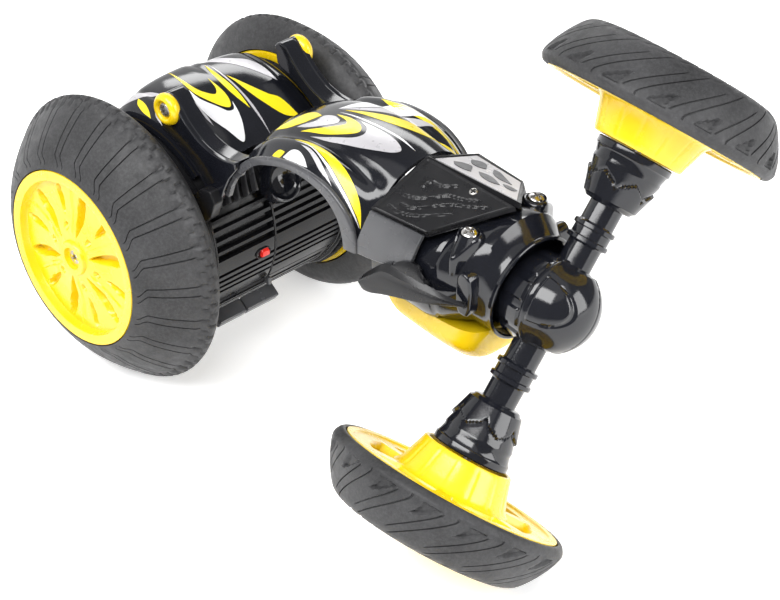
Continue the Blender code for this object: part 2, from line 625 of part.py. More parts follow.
wheel_axes = {name: empty(f"rear_wheel_axis_{name}", car) for name in ("right", "left")}
rear_drum(car)
rear_fairing(car)
drive_train(car, wheel_axes)
front_fairing(car)
nose(car)
hood(car)
belly_pan(car)
swivel_axle(swivel)
for side, name in ((-1, "right"), (1, "left")):
    rear_wheel(side, name, wheel_axes[name])
    side_frame(side, name, car)
    side_fin(side, name, car)
    roller_axis = empty(f"roller_axis_{name}", car, (ROLLER_X, 0, ROLLER_Z))
    roller(side, name, car, roller_axis)
    front_wheel(side, name, empty(f"front_wheel_axis_{name}", swivel))
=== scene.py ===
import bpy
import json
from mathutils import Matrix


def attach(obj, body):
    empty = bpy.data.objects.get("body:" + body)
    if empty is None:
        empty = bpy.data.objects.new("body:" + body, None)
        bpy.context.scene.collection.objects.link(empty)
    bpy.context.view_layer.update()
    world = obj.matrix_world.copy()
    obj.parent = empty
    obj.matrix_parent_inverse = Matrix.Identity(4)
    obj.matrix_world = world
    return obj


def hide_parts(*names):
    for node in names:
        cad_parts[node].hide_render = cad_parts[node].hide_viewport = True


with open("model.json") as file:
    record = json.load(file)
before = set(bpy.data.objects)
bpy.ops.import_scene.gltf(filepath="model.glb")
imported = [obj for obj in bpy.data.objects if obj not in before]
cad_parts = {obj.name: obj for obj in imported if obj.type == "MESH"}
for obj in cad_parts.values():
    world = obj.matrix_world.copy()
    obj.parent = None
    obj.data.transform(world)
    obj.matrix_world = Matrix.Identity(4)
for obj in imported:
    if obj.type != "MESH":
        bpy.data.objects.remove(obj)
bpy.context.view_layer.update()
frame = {"nodes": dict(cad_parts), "record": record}

# Looks of the stunt car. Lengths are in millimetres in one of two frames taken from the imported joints:
# CAR starts at the centre of the rear axle, SWIVEL at the centre of the ball joint. In both, X runs along
# the neck towards the nose and Y along the wheels' axles. A profile is a list of (y, radius) places.
import json
from functools import partial
from math import cos, exp, hypot, pi, radians, sin

import bmesh
import bpy
from mathutils import Matrix, Vector

MM = 0.001
JOINTS = {joint["name"]: joint for joint in frame["record"]["behaviour"]["joints"]}
SIDES = ((-1, "right"), (1, "left"))


def joint_frame(origin, x_axis, y_axis):
    x_axis = Vector(x_axis).normalized()
    y_axis = Vector(y_axis).normalized()
    z_axis = x_axis.cross(y_axis).normalized()
    matrix = Matrix((x_axis, z_axis.cross(x_axis), z_axis)).transposed().to_4x4()
    matrix.translation = Vector(origin)
    return matrix


NECK_AXIS = JOINTS["front_axle_swivel"]["axis"]
CAR = joint_frame(JOINTS["body_tilt"]["pos_m"], NECK_AXIS, JOINTS["body_tilt"]["axis"])
SWIVEL = joint_frame(JOINTS["front_axle_swivel"]["pos_m"], NECK_AXIS, JOINTS["front_wheel_spin_left"]["axis"])


# Materials ----------------------------------------------------------------

class Nodes:
    """A short way to write a node tree. Colours are (red, green, blue)."""

    def __init__(self, name):
        self.material = bpy.data.materials.new(name)
        self.material.use_nodes = True
        self.tree = self.material.node_tree
        self.shader = self.tree.nodes["Principled BSDF"]
        self.coords = self.tree.nodes.new("ShaderNodeTexCoord").outputs["Object"]

    def add(self, kind, inputs, **settings):
        node = self.tree.nodes.new(kind)
        for key, value in settings.items():
            setattr(node, key, value)
        for key, value in inputs.items():
            self.put(node.inputs[key], value)
        return node

    def put(self, socket, value):
        if isinstance(value, bpy.types.NodeSocket):
            self.tree.links.new(value, socket)
        else:
            socket.default_value = (*value, 1) if isinstance(value, tuple) else value

    def math(self, operation, a, b):
        return self.add("ShaderNodeMath", {0: a, 1: b}, operation=operation).outputs[0]

    def noise(self, scale, detail=3, rough=0.55):
        return self.add("ShaderNodeTexNoise", {"Vector": self.coords, "Scale": scale, "Detail": detail,
                                               "Roughness": rough}).outputs["Fac"]

    def remap(self, value, low, high, to_low, to_high):
        return self.add("ShaderNodeMapRange", {"Value": value, "From Min": low, "From Max": high,
                                               "To Min": to_low, "To Max": to_high}).outputs[0]

    def mix(self, factor, a, b):
        return self.add("ShaderNodeMix", {0: factor, 6: a, 7: b}, data_type="RGBA").outputs[2]

    def edges(self):
        return self.tree.nodes.new("ShaderNodeNewGeometry").outputs["Pointiness"]

    def bump(self, height, distance, strength, normal=None):
        inputs = {"Height": height, "Distance": distance, "Strength": strength}
        if normal is not None:
            inputs["Normal"] = normal
        return self.add("ShaderNodeBump", inputs).outputs[0]

    def set(self, **values):
        for key, value in values.items():
            self.put(self.shader.inputs[key.replace("_", " ")], value)
        return self.material


def plastic(name, base, worn, roughness, grain=0.00002, coat=0, shine=0.3):
    """Moulded plastic: slow colour drift, fine grain, smudges in the gloss and paler edges."""
    n = Nodes(name)
    drift = n.remap(n.noise(60), 0.3, 0.7, 0, 1)
    color = n.mix(n.math("MULTIPLY", drift, 0.35), base, worn)
    rub = n.math("MULTIPLY", n.remap(n.edges(), 0.53, 0.62, 0, 1), n.remap(n.noise(450), 0.4, 0.7, 0.1, 0.7))
    color = n.mix(rub, color, worn)
    smudge = n.remap(n.noise(110, 4), 0.35, 0.75, roughness * 0.8, roughness * 1.35 + 0.02)
    wave = n.bump(n.noise(140, 1), 0.0001, 0.5)
    return n.set(Base_Color=color, Roughness=smudge, Normal=n.bump(n.noise(2600, 2), grain, 0.6, wave),
                 Coat_Weight=coat, Coat_Roughness=0.06, Specular_IOR_Level=shine)


def rubber(name, base, dusty):
    """Soft moulded rubber: speckled, dull, with dust on its high spots, and painted shade that darkens its
    creases and hollows to near black.
    """
    n = Nodes(name)
    speck = n.remap(n.noise(900, 5, 0.7), 0.42, 0.72, 0, 1)
    patch = n.remap(n.noise(45, 4), 0.35, 0.7, 0, 1)
    color = n.mix(n.math("ADD", n.math("MULTIPLY", speck, 0.35), n.math("MULTIPLY", patch, 0.4)), base, dusty)
    edge = n.edges()
    # painted shade: where the pointiness is low, in creases and hollows, the colour is darkened to near black
    color = n.mix(n.remap(edge, 0.47, 0.40, 0, 1), color, (0.008, 0.008, 0.009))
    color = n.mix(n.remap(edge, 0.55, 0.66, 0, 0.5), color, dusty)
    rough = n.remap(n.noise(300), 0.3, 0.7, 0.42, 0.62)
    return n.set(Base_Color=color, Roughness=rough, Normal=n.bump(n.noise(2400), 0.00005, 0.7),
                 Specular_IOR_Level=0.25)


def metal(name, base, roughness):
    """Plated or turned metal, a little stained."""
    n = Nodes(name)
    color = n.mix(n.remap(n.noise(350, 4), 0.35, 0.7, 0, 0.4), base, (0.35, 0.33, 0.3))
    rough = n.remap(n.noise(700), 0.3, 0.7, roughness * 0.7, roughness * 1.6)
    return n.set(Base_Color=color, Roughness=rough, Metallic=1, Normal=n.bump(n.noise(1500), 0.00002, 0.5))


def sticker_vinyl(name, base, tint, metallic=0, roughness=0.32):
    """Printed vinyl: slight tint drift, fine relief and a clear film."""
    n = Nodes(name)
    drift = n.remap(n.noise(90), 0.3, 0.7, 0, 1)
    color = n.mix(n.math("MULTIPLY", drift, 0.5), base, tint)
    rough = n.remap(n.noise(260), 0.3, 0.7, roughness * 0.8, roughness * 1.4)
    return n.set(Base_Color=color, Roughness=rough, Metallic=metallic, Coat_Weight=0.25, Coat_Roughness=0.12,
                 Normal=n.bump(n.noise(320), 0.00005, 0.35))


GLOSS = plastic("gloss_black_plastic", (0.005, 0.0055, 0.008), (0.014, 0.015, 0.02), 0.08, shine=0.52)
SATIN = plastic("satin_black_plastic", (0.007, 0.007, 0.008), (0.018, 0.018, 0.02), 0.28, 0.00004)
DRUM_BLACK = plastic("drum_black_plastic", (0.006, 0.006, 0.007), (0.022, 0.022, 0.024), 0.2, 0.00003)
PANEL_GREY = plastic("panel_black_plastic", (0.045, 0.046, 0.050), (0.08, 0.08, 0.086), 0.24, shine=0.5)
YELLOW = plastic("yellow_plastic", (0.74, 0.50, 0.0015), (0.8, 0.58, 0.02), 0.24, shine=0.6)
RUBBER = rubber("tyre_rubber", (0.022, 0.022, 0.023), (0.078, 0.078, 0.081))
STEEL = metal("plated_steel", (0.42, 0.41, 0.4), 0.32)
CHROME = metal("bright_plated_steel", (0.5, 0.49, 0.48), 0.14)
RED = plastic("switch_red_plastic", (0.75, 0.01, 0.008), (0.9, 0.08, 0.05), 0.25, coat=0.3)
VINYL_BLACK = sticker_vinyl("sticker_black", (0.012, 0.012, 0.014), (0.03, 0.03, 0.035))
VINYL = {"yellow": sticker_vinyl("sticker_yellow", (0.8, 0.62, 0.0), (0.76, 0.66, 0.015)),
         "white": sticker_vinyl("sticker_white", (0.72, 0.72, 0.73), (0.6, 0.6, 0.62)),
         "silver": sticker_vinyl("sticker_silver", (0.5, 0.49, 0.51), (0.38, 0.37, 0.39), 0.2, 0.3)}


# Mesh tools ---------------------------------------------------------------

def piece(name, bm, material, hides=(), place=CAR, body="chassis", smooth=32):
    """Make a bmesh, in millimetres in the frame place, into a piece that rides on a body."""
    bmesh.ops.remove_doubles(bm, verts=bm.verts, dist=1e-5)
    bmesh.ops.dissolve_degenerate(bm, edges=bm.edges, dist=1e-6)
    bmesh.ops.recalc_face_normals(bm, faces=bm.faces)
    bmesh.ops.scale(bm, vec=(MM, MM, MM), verts=bm.verts)
    bmesh.ops.transform(bm, matrix=place, verts=bm.verts)
    mesh = bpy.data.meshes.new(name)
    bm.to_mesh(mesh)
    bm.free()
    mesh.materials.append(material)
    mesh.shade_smooth()
    mesh.set_sharp_from_angle(angle=radians(smooth))
    obj = bpy.data.objects.new(name, mesh)
    bpy.context.scene.collection.objects.link(obj)
    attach(obj, body)
    if hides:
        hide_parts(*hides)


def grid(bm, rows, close_rows=False, close_columns=False, cap_rows=False):
    """Join rows of points into faces; rows and columns may each close on themselves."""
    verts = [[bm.verts.new(point) for point in row] for row in rows]
    row_count = len(verts)
    column_count = len(verts[0])
    for r in range(row_count if close_rows else row_count - 1):
        here, there = verts[r], verts[(r + 1) % row_count]
        for c in range(column_count if close_columns else column_count - 1):
            after = (c + 1) % column_count
            bm.faces.new((here[c], here[after], there[after], there[c]))
    if cap_rows:
        bm.faces.new(verts[0])
        bm.faces.new(list(reversed(verts[-1])))
    return verts


def capped(rows):
    """A tube of rows that each close on themselves, with a face over each end."""
    bm = bmesh.new()
    grid(bm, rows, close_columns=True, cap_rows=True)
    return bm


def looped(rows):
    """A ring of rows that each close on themselves."""
    bm = bmesh.new()
    grid(bm, rows, close_rows=True, close_columns=True)
    return bm


def two_layers(bm, front_rows, back_rows):
    """Two grids of points of one size, joined round their borders into a closed sheet."""
    front, back = grid(bm, front_rows), grid(bm, back_rows)
    count, width = len(front), len(front[0])
    rim = [(r, 0) for r in range(count)] + [(count - 1, c) for c in range(1, width)]
    rim += [(r, width - 1) for r in range(count - 2, -1, -1)] + [(0, c) for c in range(width - 2, 0, -1)]
    for (a, b), (c, d) in zip(rim, rim[1:] + rim[:1]):
        bm.faces.new((front[a][b], front[c][d], back[c][d], back[a][b]))


def thick_sheet(bm, rows, thickness):
    """A grid of points with an even thickness behind it."""
    last_row, last_column = len(rows) - 1, len(rows[0]) - 1
    back = []
    for r, row in enumerate(rows):
        line = []
        for c, point in enumerate(row):
            along = rows[min(r + 1, last_row)][c] - rows[max(r - 1, 0)][c]
            across = row[min(c + 1, last_column)] - row[max(c - 1, 0)]
            line.append(point - along.cross(across).normalized() * thickness)
        back.append(line)
    two_layers(bm, rows, back)


def curve(points, samples):
    """Catmull-Rom samples through points (tuples of any length)."""
    points = [Vector(point) for point in points]
    padded = [points[0] * 2 - points[1]] + points + [points[-1] * 2 - points[-2]]
    result = []
    for sample in range(samples):
        position = sample / (samples - 1) * (len(points) - 1)
        index = min(int(position), len(points) - 2)
        t = position - index
        a, b, c, d = padded[index:index + 4]
        result.append(0.5 * (2 * b + (c - a) * t + (2 * a - 5 * b + 4 * c - d) * t * t
                             + (3 * b - a - 3 * c + d) * t ** 3))
    return result


def smoothstep(low, high, value):
    t = max(0, min(1, (value - low) / (high - low)))
    return t * t * (3 - 2 * t)


def bell(offset, width):
    """1 at offset 0, fading to 0 over a few widths."""
    return exp(-(offset / width) ** 2)


def rounded(profile, radius, steps, closed=True):
    """Round the corners of a polyline of 2D points."""
    result = []
    count = len(profile)
    for index in range(count):
        here = Vector(profile[index])
        if not closed and index in (0, count - 1):
            result.append(here)
            continue
        before = Vector(profile[index - 1]) - here
        after = Vector(profile[(index + 1) % count]) - here
        reach = min(radius, before.length * 0.45, after.length * 0.45)
        start = here + before.normalized() * reach
        end = here + after.normalized() * reach
        for step in range(steps + 1):
            t = step / steps
            result.append((1 - t) ** 2 * start + 2 * t * (1 - t) * here + t * t * end)
    return result


def turns(count):
    """Evenly spaced angles round a full turn."""
    return [2 * pi * step / count for step in range(count)]


def around(profile, turn):
    """A profile's places at one angle round Y."""
    return [(r * cos(turn), y, r * sin(turn)) for y, r in profile]


def lathe(profile, segments, side=1):
    """Spin a closed profile about Y."""
    profile = [(y * side, r) for y, r in profile]
    return looped([around(profile, turn) for turn in turns(segments)])


def spun(stations, segments, side=1):
    """Rows about Y; each station is (y, radius), or a function of the angle that gives them."""
    rows = []
    for station in stations:
        row = []
        for turn in turns(segments):
            y, r = station(turn) if callable(station) else station
            row.append((r * cos(turn), side * y, r * sin(turn)))
        rows.append(row)
    return rows


def faced(height, radii):
    """Stations for spun: a face whose height depends on the radius and the angle."""
    return [lambda turn, r=r: (height(r, turn), r) for r in radii]


def bevel_sharp(bm, width, segments=2, angle=30):
    """Round every sharp edge of a shape made so far."""
    bmesh.ops.remove_doubles(bm, verts=bm.verts, dist=1e-5)
    bmesh.ops.recalc_face_normals(bm, faces=bm.faces)
    edges = [edge for edge in bm.edges
             if len(edge.link_faces) == 2 and edge.calc_face_angle(0) > radians(angle)]
    bmesh.ops.bevel(bm, geom=edges, offset=width, offset_type="OFFSET", segments=segments, profile=0.6,
                    affect="EDGES", clamp_overlap=True)


def block(outline, low, high, bevel, segments, side=1):
    """A closed (x, z) outline pulled along Y from low to high, with rounded edges."""
    bm = capped([[(x, y, z) for x, z in outline] for y in sorted((side * low, side * high))])
    bevel_sharp(bm, bevel, segments)
    return bm


def cross_screw(name, radius, rise, place, hides, body="chassis", material=STEEL, shank=3):
    """Domed head with a cross recess; the head's top faces +Y of its place."""
    slot_half = radius * 0.13
    slot_long = radius * 0.62

    def top(r, turn):
        x, z = abs(r * cos(turn)), abs(r * sin(turn))
        dome = rise * (1 - (r / radius) ** 2) ** 0.5 if r < radius else 0
        cross = max(smoothstep(slot_half + 0.12, slot_half, across)
                    * smoothstep(slot_long + 0.15, slot_long, along) for across, along in ((z, x), (x, z)))
        return dome - 0.9 * cross

    rings = 15
    stations = faced(top, [radius * (0.02 + 0.98 * i / rings) for i in range(rings + 1)])
    stations += [(-0.7, radius), (-0.8, radius * 0.4), (-shank, radius * 0.4)]
    piece(name, capped(spun(stations, 64)), material, hides, place, body)


def facing(x, y, z, direction):
    """A place in the CAR or SWIVEL frame whose +Y points along direction."""
    turn = Vector((0, 1, 0)).rotation_difference(Vector(direction).normalized())
    return Matrix.Translation(Vector((x, y, z)) * MM) @ turn.to_matrix().to_4x4()


# Tyres --------------------------------------------------------------------

def tyre(end, side, name, place, outer, inner, sectors, shares, sweep, carve):
    """A closed tyre skin. carve gives the tread's depth and sweep the twist at a place on the outer profile."""
    outline = curve(outer, 46)
    lengths = [0]
    for before, after in zip(outline, outline[1:]):
        lengths.append(lengths[-1] + (after - before).length)
    rows = []
    for sector in range(sectors):
        for share in shares:
            turn = 2 * pi * (sector + share) / sectors
            row = []
            for index, point in enumerate(outline):
                travel = lengths[index] / lengths[-1]
                before = outline[max(index - 1, 0)]
                after = outline[min(index + 1, len(outline) - 1)]
                along = (after - before).normalized()
                depth = carve(share, travel)
                radius = point.y - along.x * depth
                twisted = turn + side * sweep(travel)
                row.append((radius * cos(twisted), side * (point.x + along.y * depth), radius * sin(twisted)))
            rows.append(row + around([(side * y, r) for y, r in inner], turn))
    bm = looped(rows)
    piece(f"{end}_tyre_skin_{name}", bm, RUBBER, [f"{end}_tyre_{name}"], place, f"{end}_wheel_{name}", 38)


def tread_shares(edges, width, plain):
    """Where a sector's rows of points stand: tight round its grooves, even elsewhere."""
    walls = [edge + step for edge in edges for step in (-0.012, 0, width, width + 0.012)]
    return sorted(plain + walls)


REAR_TYRE = [(37.6, 43.7), (37.9, 46.4), (39.6, 50.6), (42, 53.6), (44.4, 55), (46.2, 54.8), (49.6, 52.4),
             (54.6, 48.4), (59.8, 43.4), (64, 37.8), (65.9, 34.3)]
REAR_TYRE_BACK = [(64.4, 34), (54, 46), (45, 52), (40.2, 47), (39.4, 43.4)]
REAR_GROOVES = (0.20, 0.46)
REAR_SHARES = tread_shares(REAR_GROOVES, 0.02,
                           [0, 0.08, 0.14, 0.3, 0.36, 0.41, 0.56, 0.64, 0.72, 0.8, 0.87, 0.94])
FRONT_TYRE = [(68.4, 40), (68.5, 41.2), (69.6, 42.3), (71.8, 43), (76.2, 41.6), (81.6, 38.8), (86.4, 35.4),
              (88.4, 32.4), (89.2, 28.6)]
FRONT_TYRE_BACK = [(87.6, 28.2), (84, 33.6), (76, 38.8), (72, 40.6), (70.2, 39.6)]
FRONT_GROOVES = ((0.12, 0.17, 0.80), (0.42, 0.22, 0.72))      # place in a sector, and where it starts and ends
FRONT_SHARES = tread_shares([edge for edge, _, _ in FRONT_GROOVES], 0.03,
                            [0, 0.05, 0.2, 0.25, 0.3, 0.35] + [0.5 + 0.05 * i for i in range(10)])


def rear_carve(share, travel):
    """Two radial grooves, a ring of blocks on the crown and a fine groove outside it."""
    depth = 0
    if 0.44 < travel < 0.955 and any(edge - 0.004 <= share <= edge + 0.024 for edge in REAR_GROOVES):
        depth = 0.55
    if 0.30 < travel < 0.435:
        phase = (share * 3 + (0.5 if travel > 0.37 else 0)) % 1
        depth += 0.85 * smoothstep(0.70, 0.78, phase)
    if 0.425 < travel < 0.45:
        depth += 0.35
    return depth


def rear_sweep(travel):
    return smoothstep(0.86, 0.955, travel) * radians(5)


def front_carve(share, travel):
    """Two swept grooves, a triangular pocket at the inner edge and notches at the outer one."""
    depth = 0
    for edge, low, high in FRONT_GROOVES:
        if edge - 0.004 <= share <= edge + 0.034 and low < travel < high:
            depth = 0.5
    reach = (travel - 0.18) / 0.2
    if 0 < reach < 1 and abs(share - 0.72) < 0.19 * (1 - reach * 0.9):
        depth = max(depth, 0.8 + 0.5 * reach)
    if travel > 0.80:
        depth += 0.3 * smoothstep(0.7, 0.8, (share * 2) % 1)
    return depth


def front_sweep(travel):
    return -radians(52) * (travel - 0.2) ** 1.2 if travel > 0.2 else 0


def tyres():
    for side, name in SIDES:
        tyre("rear", side, name, CAR, REAR_TYRE, REAR_TYRE_BACK, 22, REAR_SHARES, rear_sweep, rear_carve)
        tyre("front", side, name, SWIVEL, FRONT_TYRE, FRONT_TYRE_BACK, 16, FRONT_SHARES, front_sweep, front_carve)


# Rims ---------------------------------------------------------------------

def teardrop(radius, angle, centre_angle, start, end, width):
    """1 inside a radial teardrop pocket, 0 outside, with a soft wall."""
    turn = (angle - centre_angle + pi) % (2 * pi) - pi
    across = radius * sin(turn)
    along = (radius * cos(turn) - start) / (end - start)
    if not 0 < along < 1 or abs(turn) > 1.2:
        return 0
    half = width * (along ** 0.8) * (1 - along) ** 0.45 * 1.9
    return smoothstep(half, half - 0.9, abs(across)) if half > 0.2 else 0


def pockets(radius, angle, first, long, short):
    """Six long and six short teardrops by turns; each kind is (start, end, width)."""
    depth = 0
    for index in range(6):
        centre = first + index * pi / 3
        depth = max(depth, teardrop(radius, angle, centre, *long),
                    0.8 * teardrop(radius, angle, centre + pi / 6, *short))
    return depth


def rear_hub(side, name):
    """Recessed disc with a raised ring, twelve pockets and a stepped boss."""
    face = 62.9
    first = radians(21)

    def height(radius, angle):
        y = face + 1.6 * smoothstep(20, 8, radius) + 3 * smoothstep(29.2, 30.2, radius)
        pocket = pockets(radius, angle, first, (8.6, 28.2, 2.7), (16, 28, 1.9))
        for index in range(6):
            turn = first + index * pi / 3 + pi / 6
            dot = hypot(radius * cos(angle) - 12.2 * cos(turn), radius * sin(angle) - 12.2 * sin(turn))
            pocket = max(pocket, 0.5 * smoothstep(1.5, 0.9, dot))
        y -= 3 * pocket
        rib = smoothstep(0.9, 0.5, abs(radius * sin((angle - radians(36)) * 3) / 3))
        y += 0.45 * rib * smoothstep(27.5, 26, radius) * smoothstep(9, 11, radius) * (1 - pocket)
        return y + 1.4 * smoothstep(7, 6.4, radius) - 1.5 * smoothstep(4.3, 3.9, radius)

    radii = [1.2, 2.4, 3.6, 3.9, 4.1, 4.3, 4.9, 5.6, 6.3, 6.6, 6.9, 7.2] + [7.9 + 0.62 * i for i in range(34)]
    stations = faced(height, radii + [29.2, 29.5, 29.8, 30.1, 30.5, 32.2, 33.3])
    stations += [(65.9, 33.7), (65.4, 33.9), (62.4, 33.1), (48, 39.2), (41.8, 40.6), (42.1, 38.8), (47.8, 37.2),
                 (59.2, 30.4), (59.4, 6.2), (42, 5.8), (42, 2.4), (58, 1.2)]
    wheel = f"rear_wheel_{name}"
    piece(f"rear_hub_{name}", looped(spun(stations, 264, side)), YELLOW, [f"rear_rim_{name}"], CAR, wheel,
          34)
    cross_screw(f"rear_hub_screw_head_{name}", 3.3, 0.5, CAR @ facing(0, side * 64.1, 0, (0, side, 0)),
                [f"rear_hub_screw_{name}"], wheel)


def rear_cap(side, name):
    """Dished inner side of the rear rim, with ten shallow webs."""
    def height(radius, angle):
        dish = 40.4 - 3.2 * smoothstep(33, 41, radius) - 1.2 * smoothstep(12, 6, radius)
        web = smoothstep(1.1, 0.6, abs(radius * sin(angle * 5) / 5)) * smoothstep(32, 30, radius)
        return dish - 0.9 * web * smoothstep(9, 11, radius)

    radii = [2.5, 5, 6, 8, 9.5, 11] + [12.5 + 1.6 * i for i in range(12)] + [32.4, 34, 36, 38, 40, 41.2, 42.2]
    stations = faced(height, radii) + [(37.2, 42.9), (38.2, 43.1), (41.4, 41.2), (41.5, 6), (41.6, 2.5)]
    piece(f"rear_rim_dish_{name}", looped(spun(stations, 200, side)), YELLOW, [f"rear_rim_cap_{name}"], CAR,
          f"rear_wheel_{name}")


def front_cover(side, name):
    """Inner face of the front wheel: a faceted cone, a pocketed ring and a raised lip."""
    def ring(radius, angle):
        share = (angle * 6 / (2 * pi)) % 1 - 0.5
        pocket = smoothstep(0.40, 0.36, abs(share))
        pocket *= smoothstep(21.2, 22, radius) * smoothstep(30.4, 29.4, radius)
        return 69 + 2.6 * pocket - 0.7 * smoothstep(36.4, 37.2, radius)

    def cone(y, radius):
        return lambda turn: (y, radius - 0.28 * smoothstep(0.12, 0, abs((turn * 14 / (2 * pi)) % 1 - 0.5)))

    stations = [(59.8, 2), (59.8, 14.2), (57.3, 14.6), (57, 15), (57.1, 15.8), (57.6, 16.2)]
    stations += [cone(*at) for at in ((59, 16.6), (62, 17.6), (65, 18.6), (67.4, 19.5), (68.4, 20.2))]
    stations += faced(ring, [20.9, 21.4, 21.8, 22.2, 23, 25, 27, 29, 29.6, 30, 30.6, 32, 34, 36.2, 36.6, 37,
                             37.4])
    stations += [(68.1, 38.8), (68.3, 39.4), (69.8, 39.2), (71.6, 38.2), (72, 30), (72, 19.4), (61.6, 13.6),
                 (61.6, 2)]
    piece(f"front_rim_inner_{name}", looped(spun(stations, 240, side)), YELLOW, [f"front_rim_cover_{name}"],
          SWIVEL, f"front_wheel_{name}", 34)


def front_hub(side, name):
    """Outer face of the front wheel, a smaller hub of the same pattern."""
    def height(radius, angle):
        y = 86.6 + smoothstep(15, 6.5, radius) + 2.3 * smoothstep(22.4, 23.2, radius)
        y -= 2.2 * pockets(radius, angle, 0, (7.2, 21.6, 2.1), (12.4, 21.4, 1.5))
        return y + smoothstep(5.8, 5.3, radius) - 1.2 * smoothstep(3.9, 3.5, radius)

    radii = [1, 2.2, 3.3, 3.6, 3.8, 4.2, 5, 5.4, 5.7, 6] + [6.6 + 0.6 * i for i in range(27)]
    stations = faced(height, radii + [22.6, 22.9, 23.2, 23.6, 25.4, 26.2])
    stations += [(88.8, 26.7), (85, 27.4), (78, 34.2), (72.3, 37.2), (72.4, 35.6), (76.4, 32.4), (83.4, 24.4),
                 (83.6, 5.4), (73, 5), (73, 2), (82, 1)]
    wheel = f"front_wheel_{name}"
    piece(f"front_hub_{name}", looped(spun(stations, 216, side)), YELLOW, [f"front_rim_{name}"], SWIVEL, wheel,
          34)
    cross_screw(f"front_hub_screw_head_{name}", 3.1, 0.5, SWIVEL @ facing(0, side * 87.2, 0, (0, side, 0)),
                [f"front_hub_screw_{name}"], wheel)


def rims():
    for side, name in SIDES:
        rear_hub(side, name)
        rear_cap(side, name)
        front_cover(side, name)
        front_hub(side, name)


# Rear drive unit -----------------------------------------------------------

DRUM_R = 40
GROOVE = 2.3                  # depth of the grooves between the drum's ribs
HATCH_BED = 1.9
DRUM_END = 32.3               # half the drum's length
SWITCH_Y, SWITCH_Z = -9.2, -2.4
BARREL_HALF = 30.6


def rib_stations(start, stop, pitch, width):
    """(degrees, depth) pairs across ribs that run along the drum; width is that of the grooves, in degrees."""
    stations = []
    count = int((stop - start) / pitch)
    step = (stop - start) / count
    for index in range(count):
        base = start + index * step
        stations += [(base + 0.12, 0), (base + step - width, 0), (base + step - width + 0.25, GROOVE),
                     (base + step - 0.13, GROOVE)]
    return stations


def drum_half(side, name, split, upper_pitch, upper_width, upper_stop):
    """Ribbed half of the drum with a flange, a smooth band for the switch and a bed for the hatch."""
    stations = [(at, HATCH_BED) for at in (-72, -71.8, -60, -49, -38, -26.2)] + [(-26, 0), (-23, 0)]
    stations += rib_stations(-21, -5.4, 3.2, 1.7) + [(at, 0) for at in (-5.2, -3, -0.8, 1)]
    stations += rib_stations(1.2, upper_stop, upper_pitch, upper_width)
    stations += [(upper_stop + 1 + 3.5 * i, 0) for i in range(int((200 - upper_stop) / 3.5))]
    stations += rib_stations(200, 287.4, 4.3, 2.4) + [(287.8, 0)]
    flange = [(30.6, DRUM_R), (31, DRUM_R + 0.2), (31.1, DRUM_R + 1), (31.4, DRUM_R + 1.2), (32, DRUM_R + 1.2),
              (DRUM_END, DRUM_R + 0.9), (DRUM_END, 33), (35.4, 33), (35.8, 32.6), (35.8, 5.4), (30.3, 5.4),
              (30.3, 37.4)]
    rows = []
    for angle, depth in stations:
        hatch = depth == HATCH_BED
        radius = DRUM_R - depth
        rim = DRUM_R if hatch else radius
        profile = [(split, DRUM_R - 0.5), (split + side * 0.4, DRUM_R - 0.1 - (1.8 if hatch else 0)),
                   (split + side * 0.9, radius)]
        profile += [(side * y, r) for y, r in [(15, radius), (27.9, radius), (28.1, rim), (30.3, rim)] + flange]
        rows.append(around(profile + [(split, 37.4)], radians(angle)))
    bm = looped(rows)
    piece(f"ribbed_drum_{name}", bm, DRUM_BLACK, [f"drum_shell_{name}"], body="drive_unit", smooth=24)


def drum_louvres():
    """Curved fins under the arch, beside a polished bowl."""
    for index in range(5):
        rows = []
        for step in range(9):
            t = step / 8
            y = -25.5 + 4.3 * index + 7.5 * t ** 1.5 * (1 - index * 0.12)
            half = 0.9 * (1 - 0.5 * t)
            fin = [(y - half, 39.6), (y - half * 0.6, 42.4), (y + half * 0.6, 42.4), (y + half, 39.6)]
            rows.append(around(fin, radians(31.5 + 18 * t)))
        bm = capped(rows)
        bevel_sharp(bm, 0.25)
        piece(f"drum_louvre_{index + 1}", bm, PANEL_GREY, body="drive_unit")
    bowl = [(-1.2, 0.05)]
    bowl += [(-1.2 + 3.4 * (1 - cos(radians(9 * step))), 6.6 * sin(radians(9 * step))) for step in range(1, 10)]
    bowl += [(2.2, 6.6), (2.5, 6.9), (2.4, 7.4), (1.9, 7.7), (-3.4, 7.9), (-3.6, 0.05)]
    turn = radians(30.5)
    place = CAR @ facing(42.2 * cos(turn), 2.6, 42.2 * sin(turn), (cos(turn), 0, sin(turn)))
    piece("drum_bowl", lathe(bowl, 56), GLOSS, place=place, body="drive_unit")


def hatch():
    """Battery hatch with shallow ribs, and the two-part pull tab at its front edge."""
    rows = []
    for angle, depth in [(-71.3, 0), (-69, 0)] + rib_stations(-68, -31, 4.2, 2.2) + [(-30, 0), (-26.7, 0)]:
        radius = DRUM_R - depth * 0.6
        half = [(25.2, radius), (25.5, DRUM_R), (27.2, DRUM_R), (27.6, DRUM_R - 0.4)]
        profile = [(-y, r) for y, r in reversed(half)] + half + [(27.6, 38.6), (-27.6, 38.6)]
        rows.append(around(profile, radians(angle)))
    bm = capped(rows)
    piece("battery_hatch_cover", bm, SATIN, ["battery_hatch"], body="drive_unit", smooth=24)
    tab = [(31.4, -26.4), (34.4, -30.4), (35.2, -30.4), (37, -27.8), (36.8, -27.2), (32.6, -24.2)]
    latch = [(35.6, -20), (38.3, -20), (38, -17.2), (36.2, -17.2)]
    piece("hatch_tab_1", block(tab, -27, -14.4, 0.5, 3), PANEL_GREY, body="drive_unit")
    piece("hatch_tab_2", block(tab, -13.8, 1.5, 0.5, 3), PANEL_GREY, body="drive_unit")
    piece("hatch_latch", block(latch, -4.8, -3.2, 0.3, 2), PANEL_GREY, body="drive_unit")


